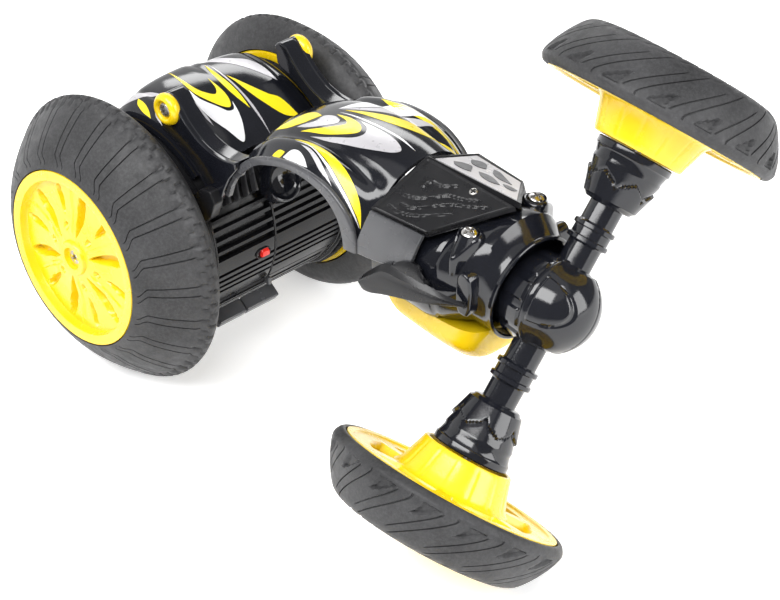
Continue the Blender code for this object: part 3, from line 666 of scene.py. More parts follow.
def switch():
    """Red slider with a stepped face, in a black surround."""
    outline = [(36.2, -4.1), (40.4, -4.1), (41.5, -3.3), (41.6, -2.4), (41.5, -1.5), (40.4, -0.7), (36.2, -0.7)]
    piece("switch_slider", block(outline, -10.4, -7.2, 0.35, 3), RED, ["power_switch"], CAR, "power_switch")
    section = [(40.1, 2.6), (40.5, 2.9), (40.5, 3.3), (39.4, 3.4), (39.4, 2.6)]
    rows = []
    for turn in turns(40):
        stretch = 0.8 if cos(turn) > 0 else -0.8
        rows.append([(x, SWITCH_Y + 0.85 * (r * cos(turn) + stretch), SWITCH_Z + 0.6 * r * sin(turn))
                     for x, r in section])
    bm = looped(rows)
    piece("switch_surround", bm, SATIN, body="drive_unit")


def barrel_point(u, v):
    """A place on the barrel cover: u from front to back, v from side to side."""
    angle = radians(50 + 150 * u)
    edge = 0.35 - 0.035 * smoothstep(0, 0.2, v)
    drop = smoothstep(edge, edge + 0.13, u)
    radius = 40.9 + (10.6 - 8.6 * drop) * max(0, 1 - abs(v) ** 3.2) ** 0.5
    radius -= 0.9 * bell(v - 0.03, 0.035) * smoothstep(0.18, 0.40, u) * (1 - drop)
    radius -= 0.55 * bell(abs(v) - 0.74, 0.03)
    return Vector((radius * cos(angle), BARREL_HALF * v, radius * sin(angle)))


def rear_barrel():
    across = [-cos(pi * i / 64) for i in range(65)]       # closer together towards the sides
    bm = bmesh.new()
    thick_sheet(bm, [[barrel_point(i / 79, v) for v in across] for i in range(80)], -1.7)
    piece("rear_barrel", bm, GLOSS, ["rear_fairing"], body="drive_unit", smooth=40)


# Front body ---------------------------------------------------------------

RIM_POINTS = [(42.2, 32.6), (44.4, 39.2), (48.5, 45.4), (56.2, 52.8), (64.5, 57), (74, 59.9), (84, 60.6),
              (93.5, 59.2), (101, 55), (105.2, 50), (107.2, 45), (108, 40.6)]
CREST_POINTS = [(49, 57), (53.5, 60.6), (60, 63.6), (68, 66.2), (77, 68.2), (88, 69.2), (99, 69.3), (111.2, 68.2)]
COVER_HALF = 27.5
COVER_RIM = curve(RIM_POINTS, 97)
COVER_CREST = curve(CREST_POINTS, 97)
ROLLER_X, ROLLER_Z = 14.3, 55.6


def sampled(line, u):
    place = max(0, min(1, u)) * (len(line) - 1)
    index = min(int(place), len(line) - 2)
    return line[index].lerp(line[index + 1], place - index)


def cover_point(u, v):
    """A place on the arched cover: a hump in the middle, a valley and a fender on each side."""
    point = sampled(COVER_CREST, u).lerp(sampled(COVER_RIM, u), abs(v) ** 2.6)
    away = smoothstep(0, 0.22, u) * smoothstep(1, 0.85, u)
    valley = 1.9 * bell(abs(v) - 0.60, 0.085)
    crown = 1.3 * bell(abs(v) - 0.80, 0.10)
    return Vector((point.x, COVER_HALF * v, point.y + away * (crown - valley)))


DECAL_RISE, DECAL_SINK = 0.12, 0.15     # how far a decal stands out of its surface and reaches into it


def decal(name, surface, outward, edges, material, body="chassis", samples=40, across=5):
    """A printed shape on a surface, between two edge lines of (u, v) that run side by side."""
    step = 0.004
    rows = []
    for a, b in zip(*(curve(edge, samples) for edge in edges)):
        row = []
        for index in range(across):
            u, v = a.lerp(b, index / (across - 1))
            point = surface(u, v)
            normal = (surface(u + step, v) - point).cross(surface(u, v + step) - point).normalized() * outward
            row.append((point, normal))
        rows.append(row)
    bm = bmesh.new()
    two_layers(bm, *([[point + normal * lift for point, normal in row] for row in rows]
                     for lift in (DECAL_RISE, -DECAL_SINK)))
    piece(name, bm, material, body=body, smooth=30)


# Swooshes: name, vinyl, first tip, the two edges between the tips, and last tip; (u, v) in hundredths.
COVER_SWOOSHES = [
    ("flash_top", "yellow", (12, -50), [(20, -34), (23, -17), (30, -12)], [(26, -50), (33, -42), (36, -30)],
     (38, -17)),
    ("flash_bar", "silver", (33, -49), [(40, -33), (40, -17), (46, -12)], [(42, -46), (50, -35), (54, -25)],
     (53, -17)),
    ("flash_hook", "yellow", (38, -53), [(54, -49), (63, -38), (68, -24), (65, -12), (57, -6)],
     [(48, -44), (55, -32), (58.5, -22), (57, -15), (52, -11)], (46, -7)),
    ("flash_field", "silver", (46, -56),
     [(58, -54), (70, -47), (80, -38), (89, -26), (91, -14), (84, -5), (72, -3)],
     [(56, -51), (64, -43), (69, -34), (71, -24), (70, -16), (68, -10), (65, -7)], (62, -4)),
    ("flash_line", "white", (45, 0), [(60, 2.5), (75, 3.5), (86, 3)], [(60, -0.5), (75, 0), (86, 0)], (95, -2)),
    ("fender_spot", "yellow", (36, -97), [(36.5, -93), (38, -90)], [(38, -98.5), (40, -98)], (41, -91)),
    ("fender_patch", "white", (41.5, -97), [(43, -90), (45, -87), (48, -87), (51, -91)],
     [(44, -98.5), (46, -98.5), (48, -98.5), (50.5, -98.5)], (53, -97.5)),
    ("fender_band", "silver", (47, -80), [(52, -80), (57, -84), (61, -90)],
     [(52, -83.5), (55.5, -88), (59, -93.5)], (65, -97.5)),
    ("fender_edge", "white", (43, -76.5), [(52, -76.5), (61, -83), (70, -90), (80, -93)],
     [(52, -77.5), (60, -85), (68, -92.5), (78, -95.5)], (92, -94)),
    ("fender_crescent", "yellow", (42, -74), [(50, -68), (60, -69), (71, -75), (81, -81), (88, -86)],
     [(51, -75), (60, -81), (70, -88.5), (80, -92), (87, -92.5)], (93, -93)),
    ("far_field", "white", (40, 8), [(42, 35), (47, 60), (55, 76)], [(50, 28), (56, 48), (62, 66)], (66, 84)),
    ("far_band", "silver", (42, 8), [(52, 28), (58, 48), (64, 66)], [(55, 22), (63, 38), (69, 54)], (72, 80)),
    ("far_stripe", "yellow", (46, 8), [(58, 20), (68, 36), (78, 54)], [(64, 14), (78, 24), (90, 44)], (93, 80))]

BARREL_SWOOSHES = [
    ("barrel_hook", "yellow", (36, -29), [(28, -37), (22, -40), (17, -34), (13.5, -25), (13, -17), (17, -10)],
     [(28, -33), (23, -33), (20, -28), (18.5, -22), (19, -17), (21, -12)], (25, -8)),
    ("barrel_field", "white", (24, -41), [(18, -50), (12, -50), (7, -43), (2, -34), (6, -22), (10, -15)],
     [(20, -42), (17, -38), (14, -31), (12, -26), (11.5, -20), (12, -15.5)], (14, -11)),
    ("barrel_sliver", "silver", (20, -49), [(16, -53), (13, -55)], [(16, -51), (13, -52)], (10, -54)),
    ("barrel_crest", "yellow", (31, 10), [(25, 7.5), (20, 6.5), (15, 5)], [(25, 2), (20, -2), (15, -2)],
     (10, 2)),
    ("barrel_line", "silver", (31, 14), [(24, 12), (16, 10), (9, 8)], [(24, 10), (16, 7.5), (9, 5)], (1, 4)),
    ("barrel_far_field", "silver", (33, 14), [(32, 32), (29, 48), (26, 62), (21, 67)],
     [(30, 26), (27, 36), (23, 46), (19, 55)], (15, 65)),
    ("barrel_far_yellow", "yellow", (23, 14), [(17, 24), (12, 36), (9, 48)], [(14, 18), (8, 27), (4, 38)],
     (2, 56)),
    ("barrel_side_band", "silver", (42, -95), [(36, -89), (32, -78)], [(38, -86), (34.5, -74)], (27, -66)),
    ("barrel_side_hook", "yellow", (34, -84), [(30.5, -86), (27.5, -90)], [(32.5, -90), (29, -94)], (25, -95)),
    ("barrel_side_patch", "silver", (26, -83), [(22, -84), (18, -87)], [(24, -91), (19, -94.5)], (13, -95))]


def edge_lines(first_tip, *edges_and_tip, flip=1):
    """The two whole edge lines of a shape whose tips are given once."""
    *edges, last_tip = edges_and_tip
    return [[(u / 100, flip * v / 100) for u, v in (first_tip, *edge, last_tip)] for edge in edges]


def swooshes():
    for name, color, *shape in COVER_SWOOSHES:
        decal(name, cover_point, 1, edge_lines(*shape), VINYL[color])
        if name.startswith("fender"):
            decal(f"{name}_left", cover_point, 1, edge_lines(*shape, flip=-1), VINYL[color])
    for name, color, *shape in BARREL_SWOOSHES:
        decal(name, barrel_point, -1, edge_lines(*shape), VINYL[color], "drive_unit")


def front_cover_shell():
    """Arched cover, notched at its back corners where the horns pass."""
    notch = 0.69                                          # the notches' inner edge, as a share of the half width
    last, first = 71, 11                                  # rows along the arch, and where the sides begin
    middle = [-notch + 2 * notch * i / 58 for i in range(59)]
    outer = [notch] + [notch + (1 - notch) * i / 16 for i in range(1, 17)]
    bm = bmesh.new()
    for across in ([-v for v in reversed(outer)], outer):
        thick_sheet(bm, [[cover_point(i / last, v) for v in across] for i in range(first, last + 1)], 1.7)
    thick_sheet(bm, [[cover_point(i / last, v) for v in middle] for i in range(last + 1)], 1.7)
    piece("arched_cover", bm, GLOSS, ["front_fairing"], smooth=40)


HORN_EDGE = [(8.4, 52), (9.4, 57.4), (11.8, 60.8), (15.6, 60.6), (19.6, 57.2), (24.4, 52.9), (30, 49.6),
             (36.5, 48), (44, 48), (50, 49.6)]


def arc(radius, first, sweep):
    """(x, z) places on a circle about the rear axle, over angles in degrees."""
    angles = [radians(first + sweep * i / 18) for i in range(19)]
    return [(radius * cos(angle), radius * sin(angle)) for angle in angles]


def horn(side, name):
    """Sickle-shaped arm that reaches back over the drum and carries a roller, and its deep outer plate."""
    edge = [tuple(point) for point in curve(HORN_EDGE, 40)]
    arm = [(46, 39.6)] + arc(52.6, 42, 33) + [(11.6, 52.6)] + edge[6:]
    piece(f"horn_{name}", block(arm, 22.9, 29.4, 0.9, 4, side), GLOSS, [f"side_frame_{name}"], smooth=30)
    plate = [(38.6, 26.8)] + arc(46.9, 40, 36) + edge + [(50.4, 47), (46.4, 41.4), (44, 36), (42.2, 30.6)]
    piece(f"horn_plate_{name}", block(plate, 29, 31.4, 0.7, 4, side), GLOSS, smooth=30)


def side_band(side, name):
    """Arch rim, and the ring round the drum's collar with the gusset that carries the horn."""
    rim = curve(RIM_POINTS, 60)
    rows = []
    for index, point in enumerate(rim):
        along = (rim[min(index + 1, 59)] - rim[max(index - 1, 0)]).normalized()
        normal = Vector((-along.y, along.x))
        deep = 2 + 3.4 * smoothstep(26, 52, index)
        section = [(0.5, 27.3), (0.9, 27.8), (0.9, 28.7), (0.5, 29.2), (-0.1, 29.4), (-deep, 29.2), (-deep, 27.3)]
        rows.append([(point.x + normal.x * out, side * y, point.y + normal.y * out) for out, y in section])
    bm = capped(rows)
    piece(f"arch_rim_{name}", bm, PANEL_GREY, smooth=40)
    ring = lathe([(34.9, 41.9), (35.2, 41.6), (35.2, 33.5), (32.8, 33.5), (32.8, 41.9)], 96, side)
    piece(f"drum_ring_{name}", ring, SATIN)
    gusset = [(36, 19), (30, 28), (36, 34), (41, 35), (43.4, 31), (41, 24)]
    piece(f"ring_gusset_{name}", block(gusset, 30.8, 35.2, 0.6, 3, side), SATIN)


def rollers():
    profile = [(29.3, 1.6), (29.3, 4.4), (29.5, 4.9), (30.1, 5.5), (30.9, 5.9), (31.6, 6), (32.4, 5.9),
               (33.1, 5.5), (33.7, 4.9), (33.9, 4.3), (33.7, 3.7), (33.1, 3.3), (32.5, 3.2), (32.5, 1.6)]
    axis = CAR @ Matrix.Translation(Vector((ROLLER_X, 0, ROLLER_Z)) * MM)
    for side, name in SIDES:
        piece(f"roller_tyre_{name}", lathe(profile, 64, side), YELLOW, [f"roller_{name}"], axis, f"roller_{name}",
              40)
        place = CAR @ facing(ROLLER_X, side * 32.7, ROLLER_Z, (0, side, 0))
        cross_screw(f"roller_screw_head_{name}", 2.7, 0.8, place, [f"roller_screw_{name}"], shank=8)


# Nose ---------------------------------------------------------------------

# x, half width, bottom, top and how square the section is
NOSE_STATIONS = [(112.6, 25.4, 24, 57.4, 3.4), (118, 25.7, 23.4, 57.7, 3.3), (124, 25.8, 23, 58.2, 3.2),
                 (130, 25.6, 22, 59, 3), (136, 25.5, 20.6, 60.2, 2.7), (141, 25.2, 21.4, 61.8, 2.4),
                 (146, 24.4, 23.2, 63.2, 2.2), (150, 23.4, 24.4, 64.6, 2.05), (153, 22.4, 25.4, 65.6, 2)]
NOSE_SEAM_X = 140.2
NECK_Z = 39.7
# x, radius and height of the centre, out along the socket's flare and back inside it
SOCKET = [(154.8, 21.3, 44.6), (156.6, 20.4, 43.4), (158.4, 19.6, 42.3), (159.8, 19.2, 41.6), (160.8, 19.1, 41.2),
          (161.6, 19.3, 41.2), (162.2, 19.4, 41.2), (162.5, 19.1, 41.2), (162.5, 18.4, 41.2), (161.9, 17.9, 41.2),
          (159, 17.8, 41.2), (155.6, 17.6, 41.2), (152, 15.1, NECK_Z), (147.6, 15.1, NECK_Z),
          (147.4, 6.3, NECK_Z), (136, 6.3, NECK_Z)]
SOCKET_LEAN = 0.08
NOSE_SCREW_X, NOSE_SCREW_Y = 147.8, 15.8


def oval_point(half, low, high, power, turn):
    c, s = cos(turn), sin(turn)
    y = abs(c) ** (2 / power) * half
    z = abs(s) ** (2 / power) * (high - low) / 2
    return (y if c > 0 else -y), (low + high) / 2 + (z if s > 0 else -z)


def nose_shell():
    """Faired nose that opens into a flared socket for the neck."""
    angles = [2 * pi * (i + 0.5) / 96 for i in range(96)]
    rows = []
    for x, half, low, high, power in curve(NOSE_STATIONS, 37):
        seam = 0.5 * bell(x - NOSE_SEAM_X, 0.45)
        rows.append([(x, *oval_point(half - seam, low + seam, high - seam, power, turn)) for turn in angles])
    for x, radius, centre in SOCKET:
        lean = SOCKET_LEAN if radius > 17 else 0
        rows.append([(x + lean * radius * sin(turn), radius * cos(turn), centre + radius * sin(turn))
                     for turn in angles])
    bm = capped(rows)
    piece("nose_cowl", bm, GLOSS, ["nose_shell"], smooth=36)


def nose_bosses():
    """Pear-shaped bosses that carry the two bright screws, and the blades beside the socket."""
    blade = [(150.8, 51), (152.4, 53), (154.6, 53.2), (156.4, 51.6), (157.2, 47), (157, 40), (156, 37), (152, 37),
             (150.8, 40), (150.4, 46)]
    blade = [tuple(point) for point in rounded(blade, 1.2, 3)]
    for side, name in SIDES:
        rows = []
        for z, grow in ((55, 1), (60.6, 1), (61.9, 0.97), (62.7, 0.9), (63, 0.78)):
            row = []
            for turn in turns(40):
                c, s = cos(turn), sin(turn)
                tail = max(0, s)                          # grows towards the outer side
                reach = 5 * grow
                drop = 5.6 * tail ** 2 if z > 60 else 5 * tail
                row.append((NOSE_SCREW_X + reach * c * (1 - 0.25 * tail),
                            side * (NOSE_SCREW_Y + reach * s * (1 + 0.75 * tail ** 2.2)), z - drop))
            rows.append(row)
        for radius, z in ((3.5, 63), (3.35, 62.8), (3.3, 60.5)):
            rows.append([(NOSE_SCREW_X + radius * cos(turn), side * (NOSE_SCREW_Y + radius * sin(turn)), z)
                         for turn in turns(40)])
        bm = capped(rows)
        piece(f"screw_boss_{name}", bm, GLOSS, smooth=40)
        place = CAR @ facing(NOSE_SCREW_X, side * NOSE_SCREW_Y, 62.6, (0.12, side * 0.1, 1))
        cross_screw(f"nose_screw_head_{name}", 3, 1.5, place, [f"nose_screw_{name}"], material=CHROME)
        piece(f"nose_rib_{name}", block(blade, 17, 24.2, 1, 3, side), GLOSS, smooth=40)


def side_plate(side, top, low, samples, columns, thickness, bulge, bevel, segments, crease=None):
    """A curved plate between two edge lines of (x, y, z), with an optional crease along it."""
    top, low = ([Vector((x, y * side, z)) for x, y, z in curve(line, samples)] for line in (top, low))
    rows = []
    for high_end, low_end in zip(top, low):
        row = []
        for step in range(columns):
            t = step / (columns - 1)
            lift = bulge * sin(pi * t)
            if crease is not None:
                lift += 0.7 * bell(t - crease, 0.08)
            row.append(high_end.lerp(low_end, t) + Vector((0, side * lift, 0)))
        rows.append(row)
    bm = bmesh.new()
    thick_sheet(bm, rows, thickness * side)
    bevel_sharp(bm, bevel, segments, 50)
    return bm


def nose_side_panel(side, name):
    """Flat cheek that runs from the arch's front leg to the round part of the nose."""
    top = [(111.6, 26, 58.2), (119, 25.4, 58.4), (127, 24.8, 58.7), (134.6, 24.2, 58.9)]
    low = [(106.6, 28.6, 40.4), (115, 28.8, 41.6), (124, 28.6, 43.8), (133.2, 27.8, 48.8)]
    piece(f"cheek_panel_{name}", side_plate(side, top, low, 30, 18, 1.8, 0.5, 0.5, 3), PANEL_GREY, smooth=34)


def side_wing(side, name):
    """Low wing with a blunt tail that narrows along the nose, and the lug that holds it to the cheek."""
    top = [(113.2, 31, 33.8), (114.4, 31, 36), (118.4, 30.6, 40.4), (124.2, 30, 45.2), (132, 29.6, 45.4),
           (142, 28.4, 44.8), (150, 26.8, 43.8), (156.4, 24.6, 42.9)]
    low = [(113.4, 31.6, 32.6), (115.6, 32.4, 31.6), (119.6, 32.6, 32.2), (124.4, 32.4, 34), (132, 31.8, 36.2),
           (141, 30.4, 38.2), (149, 28.4, 40.4), (155.8, 25.4, 41.9)]
    wing = side_plate(side, top, low, 44, 10, 1.6, 0.9, 0.3, 2, 0.2)
    piece(f"side_wing_{name}", wing, SATIN, [f"side_fin_{name}"], smooth=40)
    top = [(127, 29.8, 46), (129, 29, 48), (132.4, 28.6, 49.4), (135.6, 28.2, 49.6), (137.8, 28.2, 48.6),
           (139.6, 28.2, 47)]
    low = [(126, 29.9, 44.6), (129, 29.9, 44.6), (132.4, 29.7, 44.4), (135.6, 29.4, 44.2), (138.6, 29.1, 43.9),
           (141.6, 28.6, 43.6)]
    lug = side_plate(side, top, low, 26, 8, 2.2, 0.4, 0.35, 2)
    piece(f"wing_lug_{name}", lug, SATIN, smooth=40)


def belly_tray():
    """Yellow tray under the nose, with rounded edges and three fine steps."""
    stations = [(111.4, 16, 21, 27), (112.6, 18.4, 18.6, 27), (116, 20.2, 15.4, 27), (120, 20.9, 13.6, 27),
                (128, 21.2, 12.9, 26.6), (138, 21.2, 12.3, 26), (145, 20.8, 11.9, 26), (149, 20, 11.8, 26),
                (152.6, 18.2, 12.6, 26), (154.8, 15.6, 14.8, 26), (155.8, 12.6, 18, 26)]
    rows = []
    for x, half, low, high in curve(stations, 60):
        groove = sum(0.3 * bell(x - at, 0.4) for at in (118, 124.5, 131.5))
        corners = [(-half + 1.2, high), (-half + groove, low + 7), (-half + 6.5, low + groove)]
        corners += [(-y, z) for y, z in reversed(corners)]
        rows.append([(x, y, z) for y, z in rounded(corners, 6, 6, False)])
    bm = capped(rows)
    piece("belly_tray", bm, YELLOW, ["belly_pan"], smooth=34)


# Hood ---------------------------------------------------------------------

HOOD_BACK_TOP = Vector((111.8, 0, 68.4))
HOOD_BACK_LOW = Vector((111.8, 25.4, 58.9))
HOOD_FRONT_LOW = Vector((135, 23.2, 59.5))
HOOD_FRONT_TOP = Vector((154, 1.4, 69.3))
HOOD_NORMAL = (HOOD_FRONT_TOP - HOOD_BACK_TOP).cross(HOOD_BACK_LOW - HOOD_BACK_TOP).normalized()
HOOD_ASPECT = 0.9             # t's length over s's
WAVE_WIDTH = 0.022
HOOD_WAVES = [[(0.16, 0.85), (0.35, 0.88), (0.56, 0.82), (0.7, 0.68), (0.8, 0.55)],
              [(0.26, 0.76), (0.42, 0.74), (0.54, 0.6), (0.64, 0.44), (0.76, 0.34), (0.88, 0.22)],
              [(0.19, 0.62), (0.32, 0.58), (0.44, 0.46), (0.52, 0.33), (0.64, 0.28), (0.76, 0.18)],
              [(0.24, 0.38), (0.26, 0.27), (0.36, 0.26), (0.46, 0.16)]]
# Leaf shapes on the hood's sticker, written as the swooshes are, in hundredths of s and t.
HOOD_MARKS = [
    ((14, 30), [(20, 22), (30, 20)], [(20, 42), (30, 46)], (38, 26)),
    ((16, 66), [(24, 56), (34, 56)], [(22, 78), (34, 80)], (42, 64)),
    ((42, 40), [(50, 28), (62, 24)], [(52, 46), (62, 44)], (72, 32)),
    ((48, 78), [(54, 62), (66, 54)], [(58, 80), (70, 72)], (84, 58)),
    ((74, 42), [(80, 34), (88, 36)], [(80, 46), (88, 48)], (93, 46))]


def hood_point(side, s, t, lift):
    """s runs from back to front and t from the ridge down to the outer edge."""
    top = HOOD_BACK_TOP.lerp(HOOD_FRONT_TOP, s)
    low = HOOD_BACK_LOW.lerp(HOOD_FRONT_LOW, s)
    point = top.lerp(low, t) + HOOD_NORMAL * lift
    return Vector((point.x, point.y * side, point.z))


def near(point, line):
    """How close a point is to a polyline: 1 on it, 0 at the wave's width away."""
    best = WAVE_WIDTH
    for a, b in zip(line, line[1:]):
        t = max(0, min(1, (point - a).dot(b - a) / (b - a).length_squared))
        best = min(best, (point - a - (b - a) * t).length)
    return 1 - smoothstep(WAVE_WIDTH * 0.45, WAVE_WIDTH, best)


def hood_facet(side, name, waves):
    """One sloping face of the hood, with a raised border and raised waves."""
    rows = []
    for i in range(92):
        s = i / 91
        row = []
        for j in range(70):
            t = j / 69
            lift = 0.45 * (1 - smoothstep(0.022, 0.040, min(s, 1 - s, min(t, 1 - t) * 1.008)))
            if waves:
                lift += 0.55 * max(near(Vector((s, t * HOOD_ASPECT)), line) for line in waves)
            row.append(hood_point(side, s, t, lift))
        rows.append(row)
    bm = bmesh.new()
    thick_sheet(bm, rows, 2 * side)
    piece(f"hood_facet_{name}", bm, SATIN, ["hood"], smooth=36)


def hood_pieces():
    hood_facet(-1, "right", [[Vector((x, y * HOOD_ASPECT)) for x, y in curve(line, 18)] for line in HOOD_WAVES])
    hood_facet(1, "left", [])
    sticker = [[(s, t) for s in (0.05, 0.35, 0.65, 0.95)] for t in (0.08, 0.92)]
    decal("hood_sticker", partial(hood_point, 1, lift=0.1), 1, sticker, VINYL["silver"], samples=12, across=8)
    for index, shape in enumerate(HOOD_MARKS):
        decal(f"hood_mark_{index + 1}", partial(hood_point, 1, lift=0.3), 1, edge_lines(*shape), VINYL_BLACK,
              samples=20)
    cross_screw("hood_screw", 1.5, 0.5, CAR @ facing(*hood_point(-1, 0.62, 0.10, 0.1), (0, -0.38, 0.92)), ())


# Swivelling axle ----------------------------------------------------------

BALL_R = 16.5
BALL_SEAM_X = 2.1


def ball_radius(x, y, z):
    """Radius of the ball towards (x, y, z): a seam, a raised D-shaped panel and flats at the tubes."""
    length = (x * x + y * y + z * z) ** 0.5
    x, y, z = x / length * BALL_R, y / length * BALL_R, z / length * BALL_R
    radius = BALL_R
    if x > 7:
        radius -= 0.35 * bell(z + 2.4, 0.32) * smoothstep(7, 8.5, x)
    if abs(y) > 10:
        radius -= 0.7 * smoothstep(8.9, 8.3, hypot(x, z))
    if z > 0 and x > BALL_SEAM_X - 1:
        ring = (((x - BALL_SEAM_X) / 11.6) ** 2 + (y / 7.9) ** 2) ** 0.5
        radius += 0.55 * smoothstep(1.02, 0.97, ring) * smoothstep(BALL_SEAM_X + 0.4, BALL_SEAM_X + 0.9, x)
        radius -= 0.35 * bell(ring - 1.06, 0.03)
    return radius


def ball():
    angles = turns(144)
    rows = []
    for polar in [0.6 + i * 1.35 for i in range(60)] + [82.7]:
        tilt = radians(polar)
        directions = [Vector((cos(tilt), sin(tilt) * cos(turn), sin(tilt) * sin(turn))) for turn in angles]
        rows.append([direction * ball_radius(*direction) for direction in directions])
    for x, radius in ((2.3, 15.2), (2.3, 14), (9, 10.6), (13.6, 2), (13.8, 0.3)):
        rows.append([(x, radius * cos(turn), radius * sin(turn)) for turn in angles])
    bm = capped(rows)
    piece("ball_cover", bm, GLOSS, ["ball_shell_front"], SWIVEL, "front_axle", smooth=40)


def neck():
    """The ball's rear half: a stepped rim, a band of raised pads and the neck."""
    pads = 10
    profile = [(2, 15.2), (2, 16), (1.6, 16.35), (0.8, 16.45), (0.2, 16.4), (-0.2, 15.8), (-0.6, 15.5)]
    profile += [(-1.2 - 0.42 * i, 15.4 - 0.036 * i) for i in range(25)]
    profile += [(-11.6, 14.5), (-12.2, 14.5), (-16, 14.5), (-23.6, 14.5), (-24.2, 14), (-24.2, 5.8), (-33.6, 5.8),
                (-33.6, 1.6), (-14, 1.6), (-13, 11.6), (0, 14), (2, 14.2)]
    rows = []
    for x, radius in profile:
        row = []
        for turn in turns(240):
            grow = 0
            if radius > 14.52 and x < -0.9:
                across = 0.36 - abs((turn * pads / (2 * pi)) % 1 - 0.5)
                grow = 0.7 * smoothstep(0, 0.5, min(across * 2 * pi * 15 / pads, -1.4 - x, x + 10.8))
            row.append((x, (radius + grow) * cos(turn), (radius + grow) * sin(turn)))
        rows.append(row)
    bm = looped(rows)
    piece("neck_collar", bm, GLOSS, ["neck_barrel"], SWIVEL, "front_axle", smooth=36)


TUBE = [(8, 1.9), (8, 5.9), (22.2, 5.9), (22.6, 6.2), (22.7, 7.1), (23, 7.4), (24.3, 7.4), (24.6, 7.1),
        (24.7, 6.6), (27.5, 6.6), (27.6, 7.1), (27.9, 7.4), (29.2, 7.4), (29.5, 7.1), (29.6, 6.3), (30, 6),
        (36.6, 6), (36.8, 6.4), (36.8, 1.9)]
CONE = [(36.8, 1.9), (36.8, 7.6), (37.2, 8.4), (37.8, 8.75)]
CONE += [(38.4 + 0.55 * i, 8.9 + 0.17 * i) for i in range(22)]
CONE += [(51, 12.3), (53.2, 12.9), (53.7, 13.1), (54, 13.5), (54.4, 13.6), (56.1, 13.6), (56.6, 13.2),
         (56.6, 1.9)]
CROWN_TEETH = 6


def crowned(y, radius):
    """A station of the cone, raised where it lies inside the zig-zag crown."""
    def station(turn):
        wave = abs((turn * CROWN_TEETH / (2 * pi)) % 1 - 0.5) * 2
        edge = 43.6 + 3.2 * (1 - wave) - 1.2 * max(0, wave - 0.75) * 4
        grow = 0.85 * smoothstep(edge + 0.28, edge - 0.28, y) - 0.25 * bell(y - edge - 0.6, 0.35)
        return y, radius + (grow if 37.8 < y < 50.5 else 0)

    return station


def arms():
    """Tube with double rings, and a cone in a raised zig-zag crown."""
    for side, name in SIDES:
        piece(f"axle_tube_{name}", lathe(TUBE, 64, side), GLOSS, [f"axle_arm_{name}"], SWIVEL, "front_axle",
              smooth=34)
        cone = looped(spun([crowned(*at) for at in CONE], 192, side))
        piece(f"axle_cone_{name}", cone, GLOSS, (), SWIVEL, "front_axle", smooth=34)


def inner_parts():
    """Better finishes for the frame's own parts that show only through gaps."""
    brass = metal("turned_brass", (0.75, 0.52, 0.2), 0.25)
    nylon = plastic("natural_nylon", (0.8, 0.8, 0.76), (0.9, 0.9, 0.86), 0.4)
    finishes = {"battery_pack": plastic("shrink_sleeve", (0.1, 0.14, 0.22), (0.2, 0.25, 0.32), 0.35),
                "circuit_board": plastic("circuit_board_green", (0.01, 0.12, 0.04), (0.05, 0.22, 0.1), 0.4),
                "front_axle_shaft": STEEL, "neck_screw": STEEL}
    paired = {"motor": STEEL, "axle_bush": brass, "rear_axle": STEEL, "axle_gear": nylon, "motor_pinion": brass}
    finishes.update({f"{name}_{label}": finish for name, finish in paired.items() for _, label in SIDES})
    for name, finish in finishes.items():
        for holder in frame["nodes"][name].material_slots:
            holder.material = finish


# Camera, light and floor --------------------------------------------------

CAMERA_FROM_AXLE = (652.25, -543.37, 519.78)
CAMERA_AZIMUTH = radians(44.37)
CAMERA_ELEVATION = radians(33.84)
CAMERA_ROLL = radians(0.5)
CAMERA_LENS = 122.37
# name, location and size in metres, and power in watts
SOFTBOXES = [("key", (0.1, -0.7, 0.95), (1.2, 0.5), 19), ("rim", (-0.8, 0.9, 0.8), (1, 0.3), 5.5),
             ("fill", (1.2, 0.4, 0.5), (0.8, 0.9), 15)]
LIGHT_TARGET = Vector((0, 0, 0.05))


def add_object(name, data):
    obj = bpy.data.objects.new(name, data)
    bpy.context.scene.collection.objects.link(obj)
    return obj


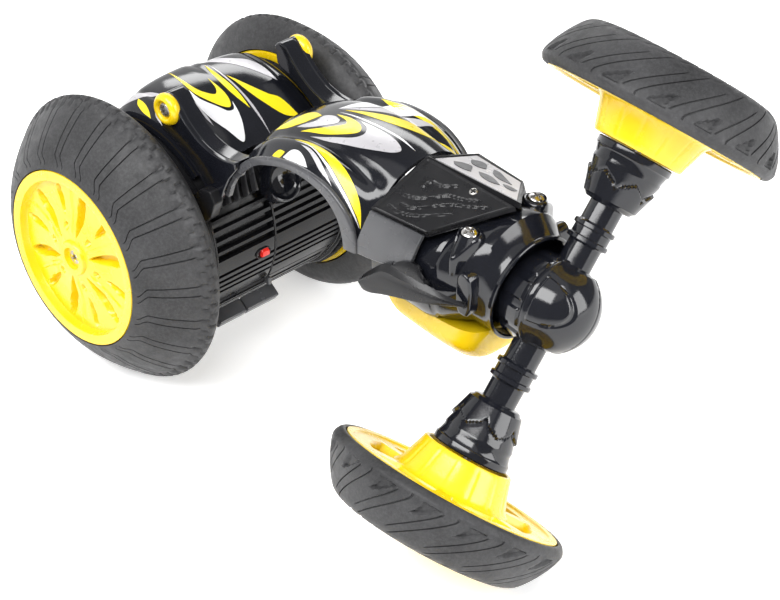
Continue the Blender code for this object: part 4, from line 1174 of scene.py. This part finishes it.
def camera():
    data = bpy.data.cameras.new("camera")
    data.lens = CAMERA_LENS
    data.sensor_width = 36
    data.clip_start = 0.05
    into = -Vector((cos(CAMERA_ELEVATION) * cos(CAMERA_AZIMUTH), -cos(CAMERA_ELEVATION) * sin(CAMERA_AZIMUTH),
                    sin(CAMERA_ELEVATION)))
    right = into.cross(Vector((0, 0, 1))).normalized()
    up = right.cross(into)
    rolled_right = right * cos(CAMERA_ROLL) + up * sin(CAMERA_ROLL)
    rolled_up = up * cos(CAMERA_ROLL) - right * sin(CAMERA_ROLL)
    matrix = Matrix((rolled_right, rolled_up, -into)).transposed().to_4x4()
    matrix.translation = CAR.translation + Vector(CAMERA_FROM_AXLE) * MM
    obj = add_object("camera", data)
    obj.matrix_world = matrix
    bpy.context.scene.camera = obj


def studio():
    n = Nodes("pale_floor")
    tone = n.mix(n.remap(n.noise(1.5), 0.3, 0.7, 0, 1), (0.92, 0.92, 0.92), (0.95, 0.95, 0.95))
    n.set(Base_Color=tone, Roughness=0.7, Specular_IOR_Level=0.1, Emission_Color=tone, Emission_Strength=0.5)
    sweep = ((3, 0), (-1.2, 0), (-1.9, 0.12), (-2.3, 0.5), (-2.5, 1.2), (-2.5, 3))      # x and z, in metres
    bm = bmesh.new()
    grid(bm, [[(x, -3, z), (x, 3, z)] for x, z in sweep])
    mesh = bpy.data.meshes.new("studio_floor")
    bm.to_mesh(mesh)
    bm.free()
    mesh.materials.append(n.material)
    add_object("studio_floor", mesh)
    bpy.context.scene.view_settings.view_transform = "Standard"
    world = bpy.data.worlds.new("studio")
    world.use_nodes = True
    background = world.node_tree.nodes["Background"]
    background.inputs["Color"].default_value = (1, 1, 1, 1)
    background.inputs["Strength"].default_value = 0.26
    bpy.context.scene.world = world
    sun = bpy.data.lights.new("even_light", "SUN")
    sun.energy = 0.6
    sun.angle = radians(70)
    add_object("even_light", sun).rotation_euler = (radians(14), radians(10), 0)
    for name, location, size, power in SOFTBOXES:
        data = bpy.data.lights.new(name, "AREA")
        data.shape = "RECTANGLE"
        data.size, data.size_y = size
        data.energy = power
        box = add_object(name, data)
        box.location = location
        box.rotation_euler = (LIGHT_TARGET - Vector(location)).to_track_quat("-Z", "Y").to_euler()


camera()
studio()
tyres()
rims()
drum_half(-1, "right", -3.15, 5.7, 3.9, 30)
drum_half(1, "left", -2.85, 3.9, 2.1, 44)
drum_louvres()
hatch()
switch()
rear_barrel()
front_cover_shell()
swooshes()
for end, label in SIDES:
    horn(end, label)
    side_band(end, label)
    nose_side_panel(end, label)
    side_wing(end, label)
rollers()
nose_shell()
nose_bosses()
belly_tray()
hood_pieces()
ball()
neck()
arms()
inner_parts()
